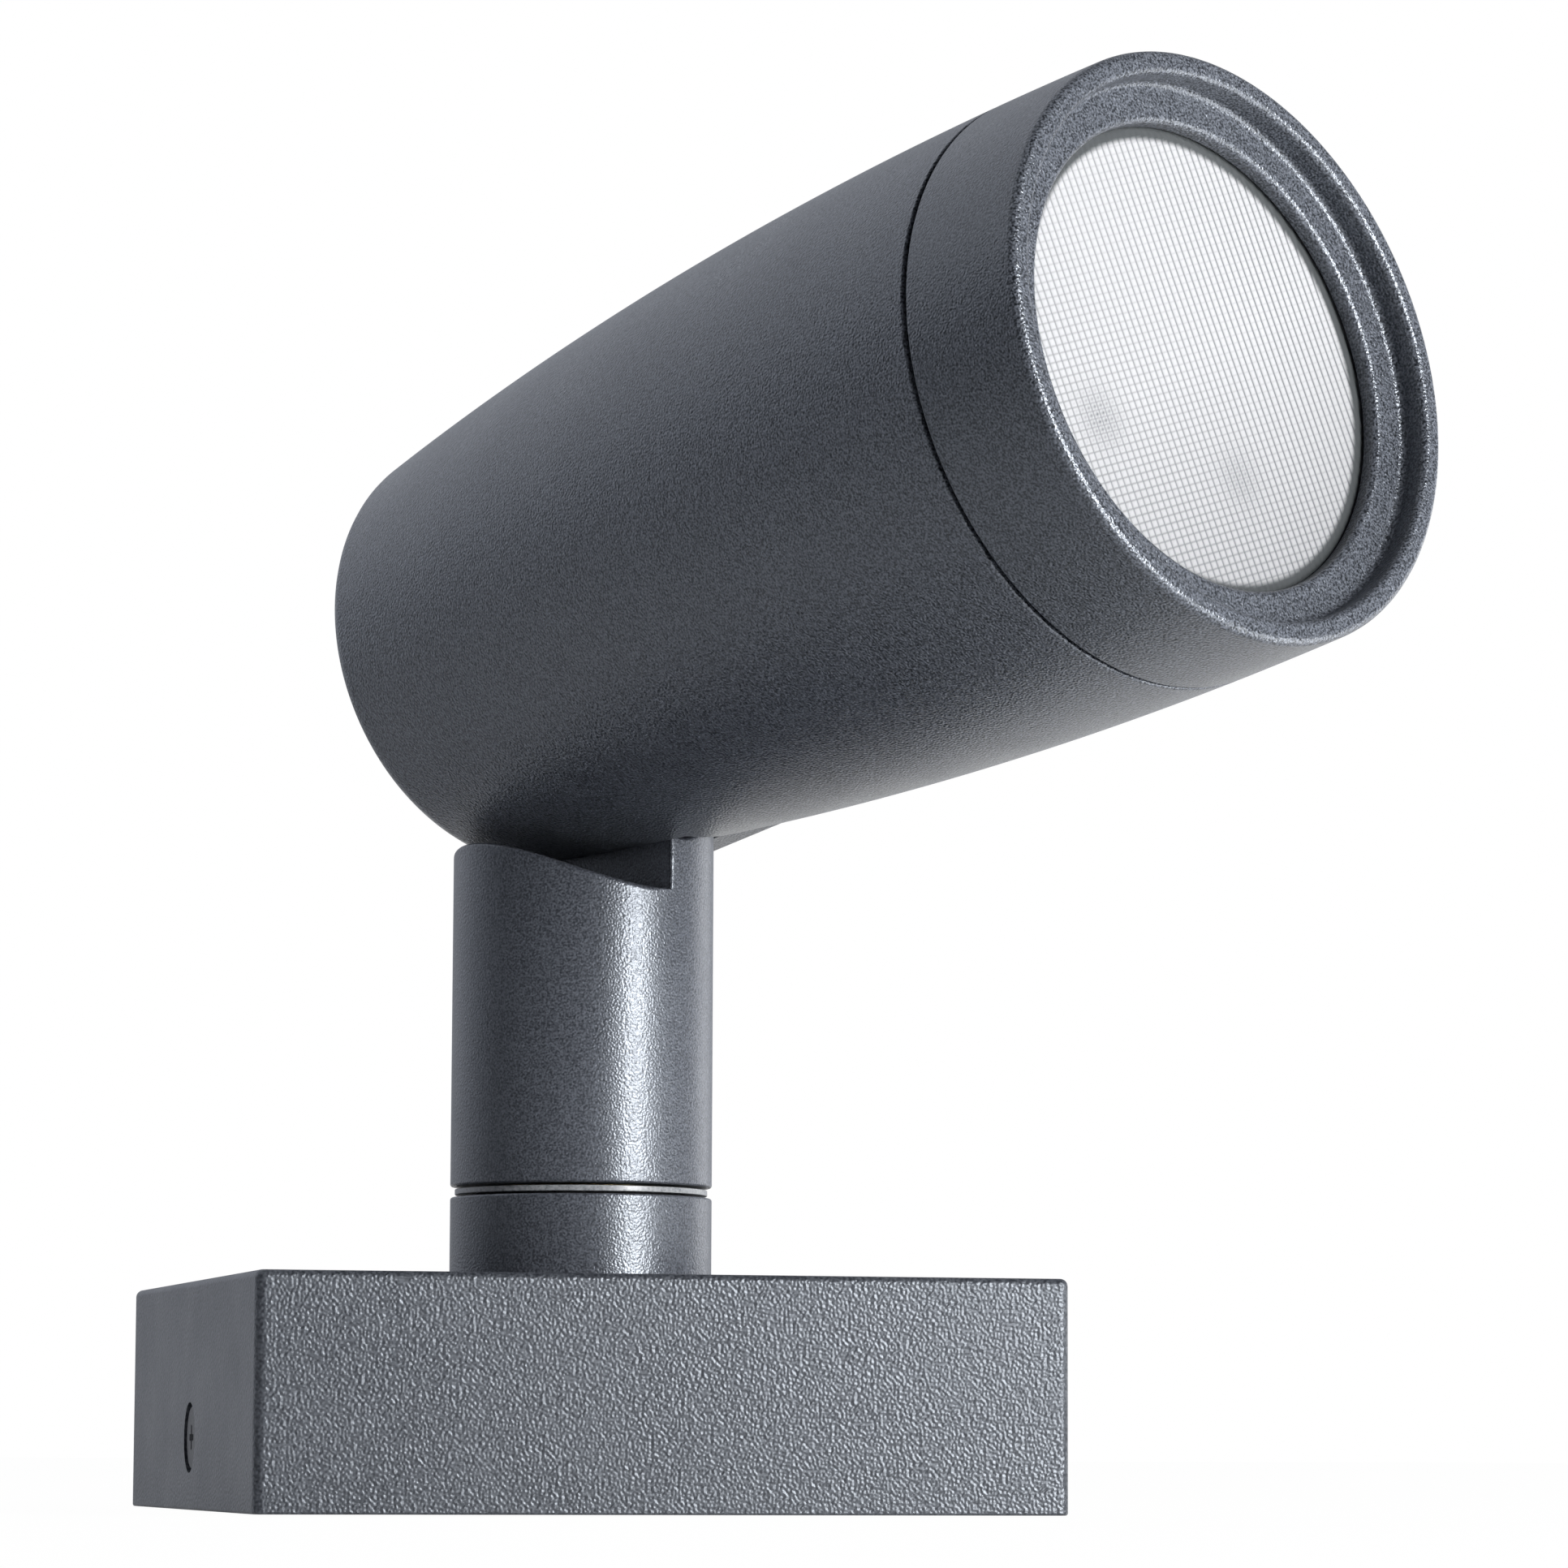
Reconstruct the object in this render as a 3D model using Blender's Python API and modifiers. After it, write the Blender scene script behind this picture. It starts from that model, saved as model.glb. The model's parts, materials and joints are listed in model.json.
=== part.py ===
"""Adjustable outdoor spotlight: square mounting base, swivel post and tilting bullet head.

The base lies square on +X and +Y with its underside at z = 0 and its middle on the origin.
The post turns about +Z. The head tilts about a bolt that crosses the post's tongue.
"""
import math

import bmesh
import bpy
from mathutils import Matrix, Vector

# Clearances, in metres
GAP = 0.0003
RUNNING_GAP = 0.0006
SEAM_GAP = 0.0005
MERGE = 0.00001
OVERSHOOT = 0.002

# Roundness of turned pieces
HEAD_STEPS = 48
POST_STEPS = 48
INNER_STEPS = 32
SMALL_STEPS = 20
ARC_POINTS = 9
FILLET_POINTS = 5
SEAL_POINTS = 6
HEAD_STATIONS = 8
REFLECTOR_STATIONS = 7

# Rest pose, in degrees
SWIVEL_REST = -60.9
ELEVATION_REST = 10.6
SWIVEL_LIMIT = 170.0

# Base
BASE_SIDE = 0.0953
BASE_HEIGHT = 0.0273
BASE_WALL = 0.0030
BASE_EDGE = 0.0008
SCREW_HEIGHT = 0.0086
SCREW_RECESS_RADIUS = 0.0042
SCREW_RECESS_DEPTH = 0.0016
SCREW_RADIUS = 0.0020
SCREW_HEAD_RADIUS = 0.0037
SCREW_HEAD_HEIGHT = 0.0012
SCREW_LENGTH = 0.0090
CROSS_LENGTH = 0.0034
CROSS_WIDTH = 0.0009
CROSS_DEPTH = 0.0007
PLATE_THICKNESS = 0.0025
TAB_WIDTH = 0.0140
TAB_THICKNESS = 0.0025
TAB_RISE = 0.0055
SLOT_WIDTH = 0.0038
SLOT_LENGTH = 0.0110
SLOT_PITCH = 0.0500
GASKET_WIDTH = 0.0025
GASKET_HEIGHT = 0.0020
GROMMET_RADIUS = 0.0060
GROMMET_FLANGE = 0.0015
GROMMET_LIP = 0.0018
GROMMET_MEMBRANE = 0.0010
GROMMET_FROM_MIDDLE = 0.0290
TERMINAL_LENGTH = 0.0260
TERMINAL_WIDTH = 0.0160
TERMINAL_HEIGHT = 0.0120
TERMINAL_POLES = 3
TERMINAL_WELL_RADIUS = 0.0022
TERMINAL_WELL_DEPTH = 0.0060
TERMINAL_FROM_MIDDLE = 0.0260

# Swivel
POST_RADIUS = 0.01595
COLLAR_HEIGHT = 0.0105
COLLAR_CHAMFER = 0.0004
SWIVEL_GAP = 0.0013
NIPPLE_RADIUS = 0.0050
NIPPLE_BORE = 0.0032
NIPPLE_BELOW_TOP = 0.0085
NIPPLE_ABOVE_NUT = 0.0010
NUT_RADIUS = 0.0086
NUT_HEIGHT = 0.0040
WASHER_RADIUS = 0.0105
WASHER_THICKNESS = 0.0010
SEAL_RADIUS = 0.0118
SEAL_SECTION = 0.0018
SWIVEL_WASHER_WIDTH = 0.0021
BUSH_RADIUS = 0.0108
BUSH_HEIGHT = 0.0085
STOP_PIN_RADIUS = 0.0010
STOP_PIN_RING = 0.0083
STOP_PIN_DEPTH = 0.0030
GRUB_RADIUS = 0.0020
GRUB_SOCKET = 0.0011
GRUB_SOCKET_DEPTH = 0.0020
CHAMBER_TOP_GAP = 0.0120

# Post top and hinge
POST_HEIGHT = 0.0356
SADDLE_RADIUS = 0.0343
SADDLE_TILT = 6.55
POST_EDGE = 0.0004
PIVOT_RISE = 0.0168
PIVOT_SETBACK = 0.0055
TONGUE_RADIUS = 0.0085
TONGUE_SHOULDER = 0.0063
SPOT_FACE_RADIUS = 0.0072
SPOT_FACE_DEPTH = 0.0024
HINGE_BUSH_RADIUS = 0.0046
FRICTION_WASHER_RADIUS = 0.0067
FRICTION_WASHER_THICKNESS = 0.0009
BOLT_RADIUS = 0.0030
BOLT_HEAD_RADIUS = 0.0052
BOLT_HEAD_HEIGHT = 0.0024
BOLT_HEAD_INSET = 0.0004
BOLT_SOCKET = 0.0026
BOLT_SOCKET_DEPTH = 0.0014
BOLT_THREAD = 0.0110
CHEEK_THICKNESS = 0.0050
CHEEK_RADIUS = 0.0109
CHEEK_LENGTH = 0.0340
CHEEK_SLOPE = 1.4
CHEEK_ROOT = 0.0060
CHEEK_INSET = 0.0012
CHEEK_EDGE = 0.0010
SPACER_RADIUS = 0.0062

# Head, measured along its axis from the rear face
HEAD_LENGTH = 0.1271
HEAD_RADIUS = 0.0350
HEAD_REAR_RADIUS = 0.0268
HEAD_WIDEST = 0.1017
HEAD_FILLET = 0.0035
UNDERSIDE_DROP = 0.0121
PIVOT_FROM_REAR = 0.0090
HEAD_WALL = 0.0030
FLOOR_THICKNESS = 0.0050
CARRIER_STEP = 0.0022
SPIGOT_WALL = 0.0019
SPIGOT_LENGTH = 0.0090
SEAL_RING_WIDTH = 0.0012
SEAL_RING_HEIGHT = 0.0015

# Front
BEZEL_LENGTH = 0.0167
RIM_ROUND = 0.0016
LIP_WIDTH = 0.0011
LIP_ROUND = 0.0004
RECESS_DEPTH = 0.0035
FLANGE_THICKNESS = 0.0020
FLANGE_WIDTH = 0.0045
GLASS_MARGIN = 0.0022
GLASS_THICKNESS = 0.0030
GASKET_RING_THICKNESS = 0.0014
GASKET_RING_COVER = 0.0010
REFLECTOR_WALL = 0.0012
REFLECTOR_FLANGE = 0.0012
REFLECTOR_THROAT = 0.0074
RETAINER_HEIGHT = 0.0020
RETAINER_WIDTH = 0.0012

# Light engine
DRIVER_LENGTH = 0.0300
DRIVER_WIDTH = 0.0360
DRIVER_HEIGHT = 0.0200
DRIVER_EDGE = 0.0015
DRIVER_SPACE = 0.0030
BOARD_THICKNESS = 0.0016
BOARD_MARGIN = 0.0030
CHIP_SIDE = 0.0080
CHIP_HEIGHT = 0.0012
CARRIER_THICKNESS = 0.0060
LED_BOARD_RADIUS = 0.0150
LED_RADIUS = 0.0065
LED_HEIGHT = 0.0012
LED_SCREW_RING = 0.0118
LED_SCREW_RADIUS = 0.0012
LED_SCREW_HEAD_RADIUS = 0.0022
LED_SCREW_HEAD_HEIGHT = 0.0014
LED_SCREW_LENGTH = 0.0050

# Leads
LEAD_RADIUS = 0.0016
LEAD_HOLE_RADIUS = 0.0024
LEAD_OUT_ALONG = 0.0040
LEAD_OUT_ACROSS = 0.0072
LEAD_IN_DROP = 0.0030
LEAD_STRAIGHT = 0.0060
LEAD_BEND = 0.0036
LEAD_STEPS = 3

# Heights up the post
BASE_INNER_HALF = BASE_SIDE / 2 - BASE_WALL
BASE_CEILING = BASE_HEIGHT - BASE_WALL
COLLAR_BOTTOM = BASE_HEIGHT + GAP
COLLAR_TOP = BASE_HEIGHT + COLLAR_HEIGHT
POST_BOTTOM = COLLAR_TOP + SWIVEL_GAP
BUSH_TOP = POST_BOTTOM + BUSH_HEIGHT
SWIVEL_NUT_BOTTOM = BUSH_TOP + GAP + WASHER_THICKNESS + GAP
NIPPLE_TOP = SWIVEL_NUT_BOTTOM + NUT_HEIGHT + NIPPLE_ABOVE_NUT
CHAMBER_TOP = NIPPLE_TOP + CHAMBER_TOP_GAP
SADDLE_LOW = POST_BOTTOM + POST_HEIGHT
TONGUE_CORNER = SADDLE_LOW + TONGUE_SHOULDER
PIVOT = Vector((-PIVOT_SETBACK, 0, SADDLE_LOW + PIVOT_RISE))
SLOT_FAR_SIDE = POST_RADIUS + GAP
CHEEK_FACE = SLOT_FAR_SIDE + CHEEK_THICKNESS
SPOT_FACE = POST_RADIUS - SPOT_FACE_DEPTH

# Places along the head's axis, measured from the rear face
SEAM = HEAD_LENGTH - BEZEL_LENGTH
SLOT_FRONT = PIVOT_FROM_REAR + PIVOT_SETBACK + POST_RADIUS + RUNNING_GAP
CAVITY_FLOOR = SLOT_FRONT + FLOOR_THICKNESS
DRIVER_FRONT = CAVITY_FLOOR + GAP + DRIVER_LENGTH
CARRIER_SEAT = DRIVER_FRONT + DRIVER_SPACE
CARRIER_FRONT = CARRIER_SEAT + GAP + CARRIER_THICKNESS
LED_BOARD_FRONT = CARRIER_FRONT + GAP + BOARD_THICKNESS
LED_FRONT = LED_BOARD_FRONT + GAP + LED_HEIGHT
FLANGE_FACE = HEAD_LENGTH - RECESS_DEPTH
GLASS_FACE = FLANGE_FACE - FLANGE_THICKNESS - GAP
GASKET_FACE = GLASS_FACE - GLASS_THICKNESS - GAP
REFLECTOR_FACE = GASKET_FACE - GASKET_RING_THICKNESS - GAP
RETAINER_FACE = REFLECTOR_FACE - REFLECTOR_FLANGE - GAP
SPIGOT_END = SEAM - SPIGOT_LENGTH

SHARP = math.radians(40)
SQUARE = math.radians(75)


def head_radius(along):
    """Outer radius of the head: one long shallow curve, widest near the front."""
    share = (HEAD_WIDEST - along) / HEAD_WIDEST
    return HEAD_RADIUS - (HEAD_RADIUS - HEAD_REAR_RADIUS) * share * share


# Radii of the head, from the rim inwards
RIM_RADIUS = head_radius(HEAD_LENGTH)
RECESS_RADIUS = RIM_RADIUS - RIM_ROUND - LIP_WIDTH
WINDOW_RADIUS = RECESS_RADIUS - FLANGE_WIDTH
GLASS_RADIUS = WINDOW_RADIUS + GLASS_MARGIN
BEZEL_BORE = GLASS_RADIUS + GAP
SPIGOT_RADIUS = BEZEL_BORE + SPIGOT_WALL
FRONT_BORE = SPIGOT_RADIUS + GAP
CARRIER_RADIUS = FRONT_BORE - GAP
SEAT_BORE = FRONT_BORE - CARRIER_STEP - GAP
REAR_BORE = min(head_radius(CAVITY_FLOOR) - HEAD_WALL, SEAT_BORE)
AXIS_RISE = head_radius(PIVOT_FROM_REAR) - UNDERSIDE_DROP


def clear_scene():
    for old in list(bpy.data.objects):
        bpy.data.objects.remove(old, do_unlink=True)


def new_collection(name):
    collection = bpy.data.collections.new(name)
    bpy.context.scene.collection.children.link(collection)
    return collection


clear_scene()
PARTS = new_collection("adjustable_spotlight")
CUTTERS = new_collection("cutters")


def new_material(name, colour, roughness, metallic):
    material = bpy.data.materials.new(name)
    material.use_nodes = True
    shader = material.node_tree.nodes["Principled BSDF"]
    shader.inputs["Base Color"].default_value = (*colour, 1)
    shader.inputs["Roughness"].default_value = roughness
    shader.inputs["Metallic"].default_value = metallic
    return material


COATED = new_material("anthracite_powder_coat", (0.060, 0.066, 0.078), 0.55, 0.0)
STEEL = new_material("stainless_steel", (0.55, 0.55, 0.56), 0.30, 1.0)
BLACKENED = new_material("blackened_steel", (0.045, 0.048, 0.055), 0.45, 0.0)
BRASS = new_material("brass", (0.60, 0.45, 0.20), 0.35, 1.0)
ALUMINIUM = new_material("bare_aluminium", (0.75, 0.76, 0.78), 0.35, 1.0)
MIRROR = new_material("reflector_coating", (0.90, 0.91, 0.93), 0.15, 1.0)
RUBBER = new_material("black_rubber", (0.020, 0.020, 0.022), 0.80, 0.0)
NYLON = new_material("white_nylon", (0.75, 0.75, 0.72), 0.45, 0.0)
DARK_PLASTIC = new_material("dark_plastic", (0.035, 0.035, 0.040), 0.50, 0.0)
BOARD = new_material("circuit_board", (0.03, 0.16, 0.07), 0.45, 0.0)
PHOSPHOR = new_material("led_phosphor", (0.85, 0.65, 0.12), 0.50, 0.0)
GLASS = new_material("prism_glass", (0.85, 0.87, 0.88), 0.12, 0.0)
LEAD_SKIN = new_material("lead_sheath", (0.05, 0.05, 0.055), 0.55, 0.0)


def new_empty(name, parent=None, place=(0, 0, 0), turn=(0, 0, 0)):
    empty = bpy.data.objects.new(name, None)
    PARTS.objects.link(empty)
    empty.parent = parent
    empty.location = place
    empty.rotation_euler = turn
    return empty


SWIVEL_AXIS = new_empty("swivel_axis", turn=(0, 0, math.radians(SWIVEL_REST)))
TILT_AXIS = new_empty("tilt_axis", SWIVEL_AXIS, PIVOT, (0, -math.radians(ELEVATION_REST), 0))
SADDLE_FRONT = (POST_RADIUS, 0, SADDLE_LOW)
SADDLE_AXIS = new_empty("saddle_axis", SWIVEL_AXIS, SADDLE_FRONT, (0, math.radians(SADDLE_TILT), 0))
STOP_PLACE = new_empty("stop_place", turn=(0, 0, math.radians(SWIVEL_REST)))
HEAD_REAR = (-PIVOT_FROM_REAR, 0, AXIS_RISE)
HEAD_AXIS = new_empty("head_axis", TILT_AXIS, HEAD_REAR, (0, math.pi / 2, 0))


def place_object(obj, material, parent, place, turn):
    """Puts a finished object among the parts, or among the cutters if it has no material."""
    cutter = material is None
    (CUTTERS if cutter else PARTS).objects.link(obj)
    obj.parent = parent
    obj.location = place
    obj.rotation_euler = turn
    obj.hide_render = cutter
    if cutter:
        obj.display_type = "WIRE"
    else:
        obj.data.materials.clear()
        obj.data.materials.append(material)
    return obj


def turned(name, outline, material=None, parent=None, place=(0, 0, 0), turn=(0, 0, 0), steps=SMALL_STEPS):
    """An outline of (radius, height) points spun round local Z, which runs down its outer side."""
    mesh = bpy.data.meshes.new(name)
    profile = bmesh.new()
    points = [profile.verts.new((radius, 0, height)) for radius, height in outline]
    for one, other in zip(points, points[1:]):
        profile.edges.new((one, other))
    if outline[0][0] > 0:
        profile.edges.new((points[-1], points[0]))
    profile.to_mesh(mesh)
    profile.free()
    obj = place_object(bpy.data.objects.new(name, mesh), material, parent, place, turn)
    spin = obj.modifiers.new("Spin", "SCREW")
    spin.steps = steps
    spin.render_steps = steps
    spin.use_merge_vertices = True
    spin.merge_threshold = MERGE
    spin.use_smooth_shade = True
    return obj


def ring(name, inner, outer, low, high, material=None, **kind):
    """A plain ring or washer between two radii and two heights."""
    return turned(name, [(outer, high), (outer, low), (inner, low), (inner, high)], material, **kind)


def disc(name, radius, low, high, material=None, parent=None, place=(0, 0, 0), turn=(0, 0, 0),
         steps=SMALL_STEPS, edge=0):
    """A plain disc or rod between two heights, with its edges rounded if an edge is given."""
    mesh = bpy.data.meshes.new(name)
    rod = bmesh.new()
    middle = Matrix.Translation((0, 0, (low + high) / 2))
    bmesh.ops.create_cone(rod, cap_ends=True, segments=steps, radius1=radius, radius2=radius,
                          depth=high - low, matrix=middle)
    rod.to_mesh(mesh)
    rod.free()
    mesh.shade_smooth()
    mesh.set_sharp_from_angle(angle=SHARP)
    obj = place_object(bpy.data.objects.new(name, mesh), material, parent, place, turn)
    if edge:
        round_edges(obj, edge)
    return obj


def round_edges(obj, width, limit=SHARP):
    rounding = obj.modifiers.new("Edges", "BEVEL")
    rounding.width = width
    rounding.segments = 2
    rounding.limit_method = "ANGLE"
    rounding.angle_limit = limit


def block(name, size, material=None, parent=None, place=(0, 0, 0), turn=(0, 0, 0), edge=0):
    """A box round its middle, with its edges rounded if an edge is given."""
    mesh = bpy.data.meshes.new(name)
    cube = bmesh.new()
    bmesh.ops.create_cube(cube, size=1, matrix=Matrix.Diagonal((*size, 1)))
    cube.to_mesh(mesh)
    cube.free()
    obj = place_object(bpy.data.objects.new(name, mesh), material, parent, place, turn)
    if edge:
        round_edges(obj, edge)
    return obj


def hexagon(name, radius, low, high, material=None, **kind):
    """A six-sided prism between two heights."""
    return disc(name, radius, low, high, material, steps=6, **kind)


def sheet(name, outline, thickness, material=None, parent=None, place=(0, 0, 0), turn=(0, 0, 0)):
    """A flat outline with a thickness, made a mesh so that it can be cut or joined."""
    curve = bpy.data.curves.new(name, "CURVE")
    curve.dimensions = "2D"
    curve.fill_mode = "BOTH"
    curve.extrude = thickness / 2
    spline = curve.splines.new("POLY")
    spline.points.add(len(outline) - 1)
    for point, (across, up) in zip(spline.points, outline):
        point.co = (across, up, 0, 1)
    spline.use_cyclic_u = True
    drawn = bpy.data.objects.new(name, curve)
    bpy.context.scene.collection.objects.link(drawn)
    view = bpy.context.evaluated_depsgraph_get()
    mesh = bpy.data.meshes.new_from_object(drawn.evaluated_get(view))
    bpy.data.objects.remove(drawn, do_unlink=True)
    welded = bmesh.new()
    welded.from_mesh(mesh)
    bmesh.ops.remove_doubles(welded, verts=welded.verts, dist=MERGE)
    bmesh.ops.recalc_face_normals(welded, faces=welded.faces)
    welded.to_mesh(mesh)
    welded.free()
    return place_object(bpy.data.objects.new(name, mesh), material, parent, place, turn)


def combine(obj, tool, operation):
    change = obj.modifiers.new(tool.name, "BOOLEAN")
    change.operation = operation
    change.solver = "EXACT"
    change.object = tool


def cut(obj, tool):
    combine(obj, tool, "DIFFERENCE")


def join(obj, tool):
    combine(obj, tool, "UNION")


def arc(middle, radius, start, end, points=ARC_POINTS):
    """Points on an arc, with its angles in degrees."""
    turns = [math.radians(start + (end - start) * step / (points - 1)) for step in range(points)]
    return [(middle[0] + radius * math.cos(turn), middle[1] + radius * math.sin(turn)) for turn in turns]


def smooth_route(route):
    """Points along a smooth curve through a route's own points."""
    padded = [route[0]] + list(route) + [route[-1]]
    points = []
    for before, start, end, after in zip(padded, padded[1:], padded[2:], padded[3:]):
        before, start, end, after = (Vector(point) for point in (before, start, end, after))
        for step in range(LEAD_STEPS):
            t = step / LEAD_STEPS
            bend = 2 * before - 5 * start + 4 * end - after
            twist = 3 * start - before - 3 * end + after
            points.append((2 * start + (end - before) * t + bend * t * t + twist * t * t * t) / 2)
    return points + [Vector(route[-1])]


def lead(name, route, parent=None):
    """A round lead along a route."""
    curve = bpy.data.curves.new(name, "CURVE")
    curve.dimensions = "3D"
    curve.bevel_depth = LEAD_RADIUS
    curve.bevel_resolution = 2
    curve.use_fill_caps = True
    points = smooth_route(route)
    spline = curve.splines.new("POLY")
    spline.points.add(len(points) - 1)
    for point, spot in zip(spline.points, points):
        point.co = (*spot, 1)
    return place_object(bpy.data.objects.new(name, curve), LEAD_SKIN, parent, (0, 0, 0), (0, 0, 0))


# Turns that lay a piece's own Z along another direction
ALONG_X = (0, math.pi / 2, 0)
ALONG_MINUS_X = (0, -math.pi / 2, 0)
ALONG_Y = (-math.pi / 2, 0, 0)
SIDE_VIEW = (math.pi / 2, 0, 0)
FRONT_VIEW = (math.pi / 2, 0, math.pi / 2)


def add_base():
    """Square housing, open underneath, with a recessed screw hole in its left and right sides."""
    housing = block("base_housing", (BASE_SIDE, BASE_SIDE, BASE_HEIGHT), COATED,
                    place=(0, 0, BASE_HEIGHT / 2), edge=BASE_EDGE)
    inside = 2 * BASE_INNER_HALF
    depth = BASE_CEILING + OVERSHOOT
    cut(housing, block("base_inside", (inside, inside, depth), place=(0, 0, BASE_CEILING - depth / 2)))
    cut(housing, disc("nipple_hole", NIPPLE_RADIUS + GAP, BASE_CEILING - OVERSHOOT, BASE_HEIGHT + OVERSHOOT))
    for side, turn in (("left", ALONG_MINUS_X), ("right", ALONG_X)):
        middle = (0, 0, SCREW_HEIGHT)
        floor = BASE_SIDE / 2 - SCREW_RECESS_DEPTH
        cut(housing, disc("recess_" + side, SCREW_RECESS_RADIUS, floor, BASE_SIDE / 2 + OVERSHOOT,
                          place=middle, turn=turn))
        cut(housing, disc("screw_hole_" + side, SCREW_RADIUS + GAP, BASE_INNER_HALF - OVERSHOOT,
                          floor + OVERSHOOT / 2, place=middle, turn=turn))
        add_side_screw("side_screw_" + side, floor + GAP, middle, turn)


def add_side_screw(name, seat, middle, turn):
    """Machine screw with a flat round head and a cross recess; its axis is local Z."""
    face = seat + SCREW_HEAD_HEIGHT
    tip = seat - SCREW_LENGTH
    outline = [(0, face), (SCREW_HEAD_RADIUS, face), (SCREW_HEAD_RADIUS, seat), (SCREW_RADIUS, seat),
               (SCREW_RADIUS, tip), (0, tip)]
    screw = turned(name, outline, BLACKENED, place=middle, turn=turn)
    for arm, size in (("long", (CROSS_LENGTH, CROSS_WIDTH)), ("wide", (CROSS_WIDTH, CROSS_LENGTH))):
        tool = block(name + "_cross_" + arm, (*size, 2 * CROSS_DEPTH), parent=screw, place=(0, 0, face))
        cut(screw, tool)


def slot_outline(length, width):
    half = (length - width) / 2
    return arc((half, 0), width / 2, -90, 90) + arc((-half, 0), width / 2, 90, 270)


def add_mounting_plate():
    """Plate inside the housing's mouth, with slots for wall screws and a tab for each side screw."""
    half = BASE_INNER_HALF - GAP
    plate = block("mounting_plate", (2 * half, 2 * half, PLATE_THICKNESS), STEEL,
                  place=(0, 0, PLATE_THICKNESS / 2))
    tab_top = SCREW_HEIGHT + TAB_RISE
    tab_middle = half - GASKET_WIDTH - GAP - TAB_THICKNESS / 2
    for side in (-1, 1):
        foot = PLATE_THICKNESS / 2
        tab = block("tab_%d" % side, (TAB_THICKNESS, TAB_WIDTH, tab_top - foot),
                    place=(side * tab_middle, 0, (tab_top + foot) / 2))
        join(plate, tab)
        cut(plate, disc("tab_hole_%d" % side, SCREW_RADIUS + GAP, tab_middle - TAB_THICKNESS,
                        tab_middle + TAB_THICKNESS, place=(0, 0, SCREW_HEIGHT),
                        turn=ALONG_X if side > 0 else ALONG_MINUS_X))
        cut(plate, sheet("wall_slot_%d" % side, slot_outline(SLOT_LENGTH, SLOT_WIDTH),
                         PLATE_THICKNESS + 2 * OVERSHOOT,
                         place=(side * SLOT_PITCH / 2, 0, PLATE_THICKNESS / 2), turn=(0, 0, math.pi / 2)))
    cut(plate, disc("cable_hole", GROMMET_RADIUS + GAP, -OVERSHOOT, PLATE_THICKNESS + OVERSHOOT,
                    place=(0, GROMMET_FROM_MIDDLE, 0)))


def add_base_fittings():
    """Gasket, cable inlet and terminal block inside the base."""
    low = PLATE_THICKNESS + GAP
    side = 2 * (BASE_INNER_HALF - GAP)
    gasket = block("base_gasket", (side, side, GASKET_HEIGHT), RUBBER, place=(0, 0, low + GASKET_HEIGHT / 2))
    hole = side - 2 * GASKET_WIDTH
    cut(gasket, block("gasket_hole", (hole, hole, GASKET_HEIGHT + 2 * OVERSHOOT),
                      place=(0, 0, low + GASKET_HEIGHT / 2)))
    flange = GROMMET_RADIUS + GROMMET_FLANGE
    top = low + GROMMET_LIP
    well = GROMMET_RADIUS - GROMMET_FLANGE
    outline = [(0, GROMMET_MEMBRANE), (well, GROMMET_MEMBRANE), (well, top), (flange, top), (flange, low),
               (GROMMET_RADIUS, low), (GROMMET_RADIUS, 0), (0, 0)]
    turned("cable_grommet", outline, RUBBER, place=(0, GROMMET_FROM_MIDDLE, 0))
    terminal = block("terminal_block", (TERMINAL_LENGTH, TERMINAL_WIDTH, TERMINAL_HEIGHT), NYLON,
                     place=(0, -TERMINAL_FROM_MIDDLE, low + TERMINAL_HEIGHT / 2))
    pitch = TERMINAL_LENGTH / TERMINAL_POLES
    for pole in range(TERMINAL_POLES):
        across = (pole - (TERMINAL_POLES - 1) / 2) * pitch
        roof = low + TERMINAL_HEIGHT
        cut(terminal, disc("terminal_well_%d" % pole, TERMINAL_WELL_RADIUS, roof - TERMINAL_WELL_DEPTH,
                           roof + OVERSHOOT, place=(across, -TERMINAL_FROM_MIDDLE, 0)))


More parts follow.
